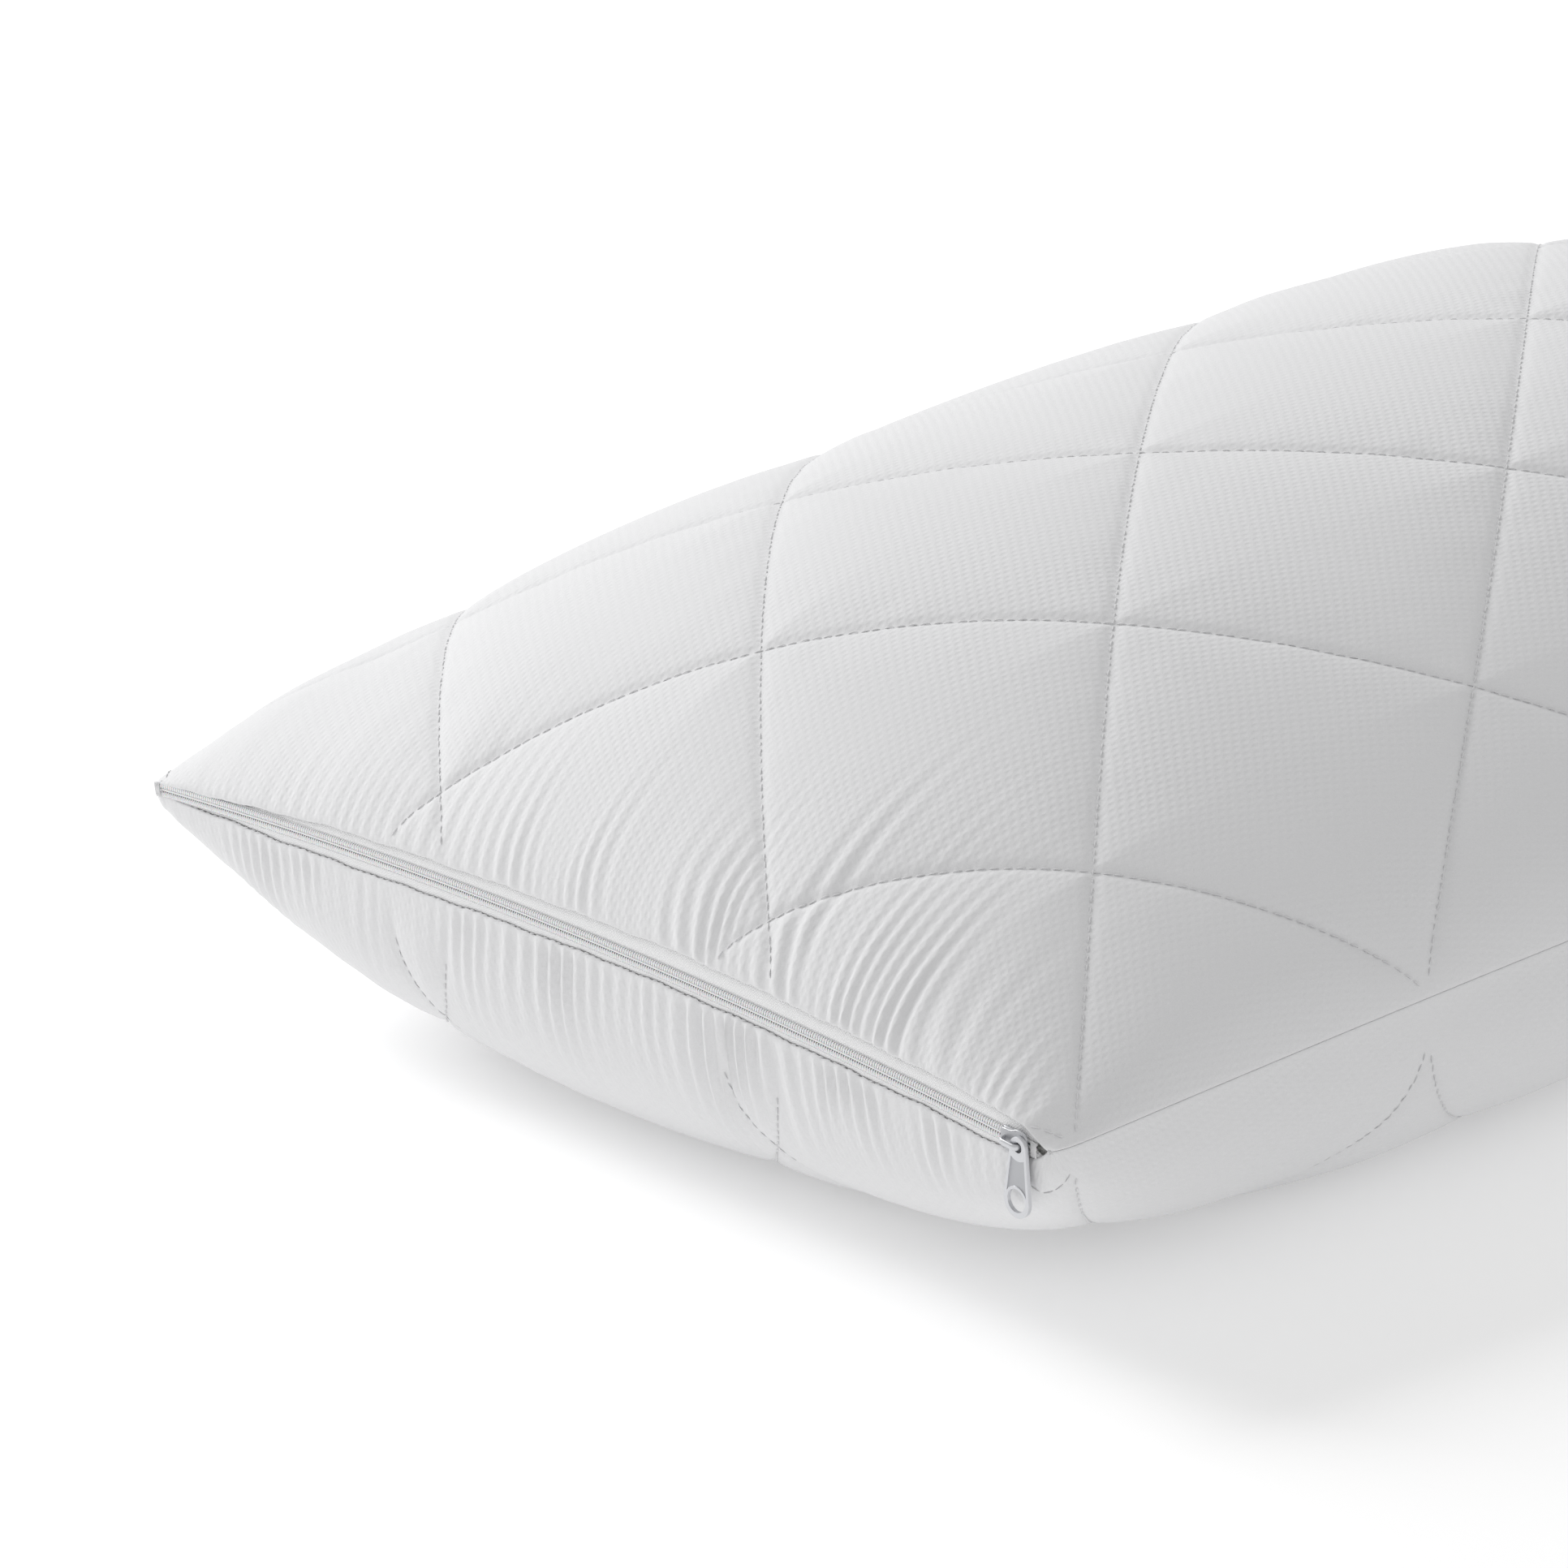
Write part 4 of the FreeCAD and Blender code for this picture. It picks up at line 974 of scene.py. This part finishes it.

# The flats of the slider and the tab's sunk field: the same zinc, rougher, and greyer as painted
# shade, so that the edges and rims stay lighter.
shaded_zinc, shaded_zinc_shader = new_material("matt_zinc_painted_shade", "#BABBBE", 0.5, Metallic=0.85)
raise_relief(shaded_zinc, shaded_zinc_shader, object_noise(shaded_zinc, 2600.0, Detail=3.0), 0.3, 0.00006)


def paint_shade_on(piece, numbers):
    """Gives some faces of a finished piece the rougher zinc, greyed as painted shade."""
    piece.data.materials.append(shaded_zinc)
    for number in numbers:
        piece.data.polygons[number].material_index = 1


outer_plate = slider_plate(PLATE_OUT, PLATE_IN, 0.5)
inner_plate = slider_plate(-345.5, -344.4, 0.0)
wedge = start_from(
    bpy.ops.mesh.primitive_cylinder_add, vertices=24, radius=0.5 * MM, depth=2.9 * MM,
    location=mm(WEDGE_X, WEDGE_Y, 0), rotation=UPRIGHT,
)
bpy.ops.object.mode_set(mode="EDIT")
bpy.ops.mesh.select_all(action="SELECT")
bpy.ops.transform.resize(value=(1.5, 1, 0.44), center_override=mm(WEDGE_X, WEDGE_Y, 0))
modify(wedge, "BEVEL", width=0.06 * MM, segments=2, limit_method="ANGLE", angle_limit=math.radians(60))
flanges = []
for edge in (1, -1):
    flange = start_from(
        bpy.ops.mesh.primitive_cube_add, size=1, location=mm(-2.6, -347.75, edge * 3.45),
        scale=mm(6.6, 1.0, 0.5),
    )
    modify(flange, "BEVEL", width=0.14 * MM, segments=3, limit_method="ANGLE")
    flanges.append(flange)
pick(outer_plate, inner_plate, wedge, *flanges)
bpy.ops.object.join()
# The outer plate's broad outer faces get the greyer zinc: painted shade, with the rims left lighter.
flats = [f.index for f in outer_plate.data.polygons
         if f.normal.y < -0.9 and f.center.y < (PLATE_OUT + 0.3) * MM]
set_down(outer_plate, "slider_body", "slider", "zip_slider")
paint_shade_on(outer_plate, flats)

# ---- bail --------------------------------------------------------------------------------------
# A flat zinc strap cast with the outer plate: it rises at the tail, runs over the pull tab's eye
# and comes down at the nose, where the tab hangs on its front leg.

LEG_X, LEG_Y, LEG_RISE = 4.1, -349.2, 1.1
BEND_X, BEND_Y = 2.4, -350.3

bail = start_from(
    bpy.ops.mesh.primitive_circle_add, vertices=20, radius=0.9 * MM, fill_type="NGON",
    location=mm(-LEG_X, LEG_Y, 0), rotation=UPRIGHT,
)
bpy.ops.object.mode_set(mode="EDIT")
bpy.ops.mesh.select_all(action="SELECT")
bpy.ops.transform.resize(value=(0.72, 1, 1.25), center_override=mm(-LEG_X, LEG_Y, 0))
bpy.ops.mesh.extrude_region_move(TRANSFORM_OT_translate={"value": mm(0, -LEG_RISE, 0)})
bpy.ops.mesh.spin(steps=8, angle=-math.pi / 2, center=mm(-BEND_X, BEND_Y, 0), axis=(0, 0, 1))
bpy.ops.mesh.extrude_region_move(TRANSFORM_OT_translate={"value": mm(2 * BEND_X, 0, 0)})
bpy.ops.mesh.spin(steps=8, angle=-math.pi / 2, center=mm(BEND_X, BEND_Y, 0), axis=(0, 0, 1))
bpy.ops.mesh.extrude_region_move(TRANSFORM_OT_translate={"value": mm(0, LEG_RISE, 0)})
bpy.ops.mesh.select_all(action="SELECT")
bpy.ops.mesh.remove_doubles(threshold=0.01 * MM)
bpy.ops.mesh.normals_make_consistent(inside=False)
bpy.ops.object.mode_set(mode="OBJECT")
set_down(bail, "slider_bail_strap", "slider", "slider_bail")

# ---- pull tab ----------------------------------------------------------------------------------
# A cast zinc tab that hangs from the bail: a round eye above, a ring below, and between them a
# sunk, matt field, greyed as painted shade, inside a lighter raised rim. Its edges are rounded by tumbling.

TAB_OUT, TAB_IN = -351.05, -349.55
EYE_X, RING_Z = LEG_X, -19.8
EYE_HOLE, RING_HOLE, FIELD_DEPTH = 1.9, 4.25, 0.34


def tab_outline(top_radius, foot_radius, y, thickness):
    """A solid between a small circle above and a large one below: a circle whose top half is drawn up."""
    centre = mm(EYE_X, y, RING_Z)
    tab = start_from(
        bpy.ops.mesh.primitive_circle_add, vertices=72, radius=foot_radius * MM, fill_type="NGON",
        location=centre, rotation=UPRIGHT,
    )
    bpy.ops.object.mode_set(mode="EDIT")
    choose(tab, lambda c: c.z > RING_Z + 0.01)
    factor = top_radius / foot_radius
    bpy.ops.transform.resize(value=(factor, 1, factor), center_override=centre)
    bpy.ops.transform.translate(value=(0, 0, -RING_Z * MM))
    bpy.ops.mesh.select_all(action="SELECT")
    bpy.ops.mesh.extrude_region_move(TRANSFORM_OT_translate={"value": (0, thickness * MM, 0)})
    bpy.ops.mesh.select_all(action="SELECT")
    bpy.ops.mesh.normals_make_consistent(inside=False)
    bpy.ops.object.mode_set(mode="OBJECT")
    return tab


def rod(x, z, radius, y_out, y_in):
    """A round cutter along Y."""
    return start_from(
        bpy.ops.mesh.primitive_cylinder_add, vertices=64, radius=radius * MM,
        depth=abs(y_in - y_out) * MM, location=mm(x, (y_in + y_out) / 2, z), rotation=UPRIGHT,
    )


def carve(piece, cutter):
    """Takes a cutter out of a piece and clears it away."""
    modify(piece, "BOOLEAN", operation="DIFFERENCE", object=cutter, solver="EXACT")
    bpy.data.objects.remove(cutter)


pull_tab = tab_outline(3.8, 6.2, TAB_OUT, TAB_IN - TAB_OUT)
for y_out, y_in in ((TAB_OUT - 0.3, TAB_OUT + FIELD_DEPTH), (TAB_IN - FIELD_DEPTH, TAB_IN + 0.3)):
    field = tab_outline(2.75, 4.95, y_out, y_in - y_out)
    carve(field, rod(EYE_X, RING_Z, 5.3, y_out - 0.2, y_in + 0.2))
    carve(field, rod(EYE_X, 0.6, 5.6, y_out - 0.2, y_in + 0.2))
    carve(pull_tab, field)
carve(pull_tab, rod(EYE_X, RING_Z, RING_HOLE, TAB_OUT - 1, TAB_IN + 1))
carve(pull_tab, rod(EYE_X, 0.0, EYE_HOLE, TAB_OUT - 1, TAB_IN + 1))
modify(pull_tab, "BEVEL", width=0.2 * MM, segments=3, limit_method="ANGLE", angle_limit=math.radians(55))

# The sunk field's flat faces, which get the greyer zinc as painted shade.
sunk = []
for face in pull_tab.data.polygons:
    y = face.center.y / MM
    inside = TAB_OUT + 0.25 < y < TAB_OUT + 0.45 or TAB_IN - 0.45 < y < TAB_IN - 0.25
    if inside and abs(face.normal.y) > 0.9:
        sunk.append(face.index)
set_down(pull_tab, "pull_tab", "tab", "zip_pull_tab")
paint_shade_on(pull_tab, sunk)

# ---- floor and light ---------------------------------------------------------------------------
# A plain white floor that glows faintly, painted light that lifts its shadows and lights the
# pillow from below, and soft studio light: one broad lamp high on the left, and an even white surround.

bpy.ops.object.select_all(action="DESELECT")
bpy.ops.mesh.primitive_plane_add(size=30, location=(0, 0, -0.0003))
floor = bpy.context.object
floor.name = "floor"
# The emission is painted light: a glow that lifts the floor's shadows and lights the pillow from below.
floor_white, _ = new_material(
    "matt_white_floor_with_painted_glow", "#FAFAFA", 0.9, Specular_IOR_Level=0.1,
    Emission_Color=(1, 1, 1, 1), Emission_Strength=0.2,
)
floor.data.materials.append(floor_white)

world = bpy.data.worlds.new("studio")
bpy.context.scene.world = world
world.use_nodes = True
world.node_tree.nodes["Background"].inputs["Color"].default_value = (1, 1, 1, 1)
world.node_tree.nodes["Background"].inputs["Strength"].default_value = 0.60

lamp_place, lamp_aim = Vector((-3.0, -0.7, 2.2)), Vector((0, 0, 0.08))
lamp_data = bpy.data.lights.new("key_lamp", "AREA")
lamp_data.size = 1.8
lamp_data.energy = 80
key_lamp = bpy.data.objects.new("key_lamp", lamp_data)
bpy.context.scene.collection.objects.link(key_lamp)
key_lamp.location = lamp_place
key_lamp.rotation_euler = (lamp_aim - lamp_place).to_track_quat("-Z", "Y").to_euler()
bpy.context.scene.view_settings.view_transform = "Standard"
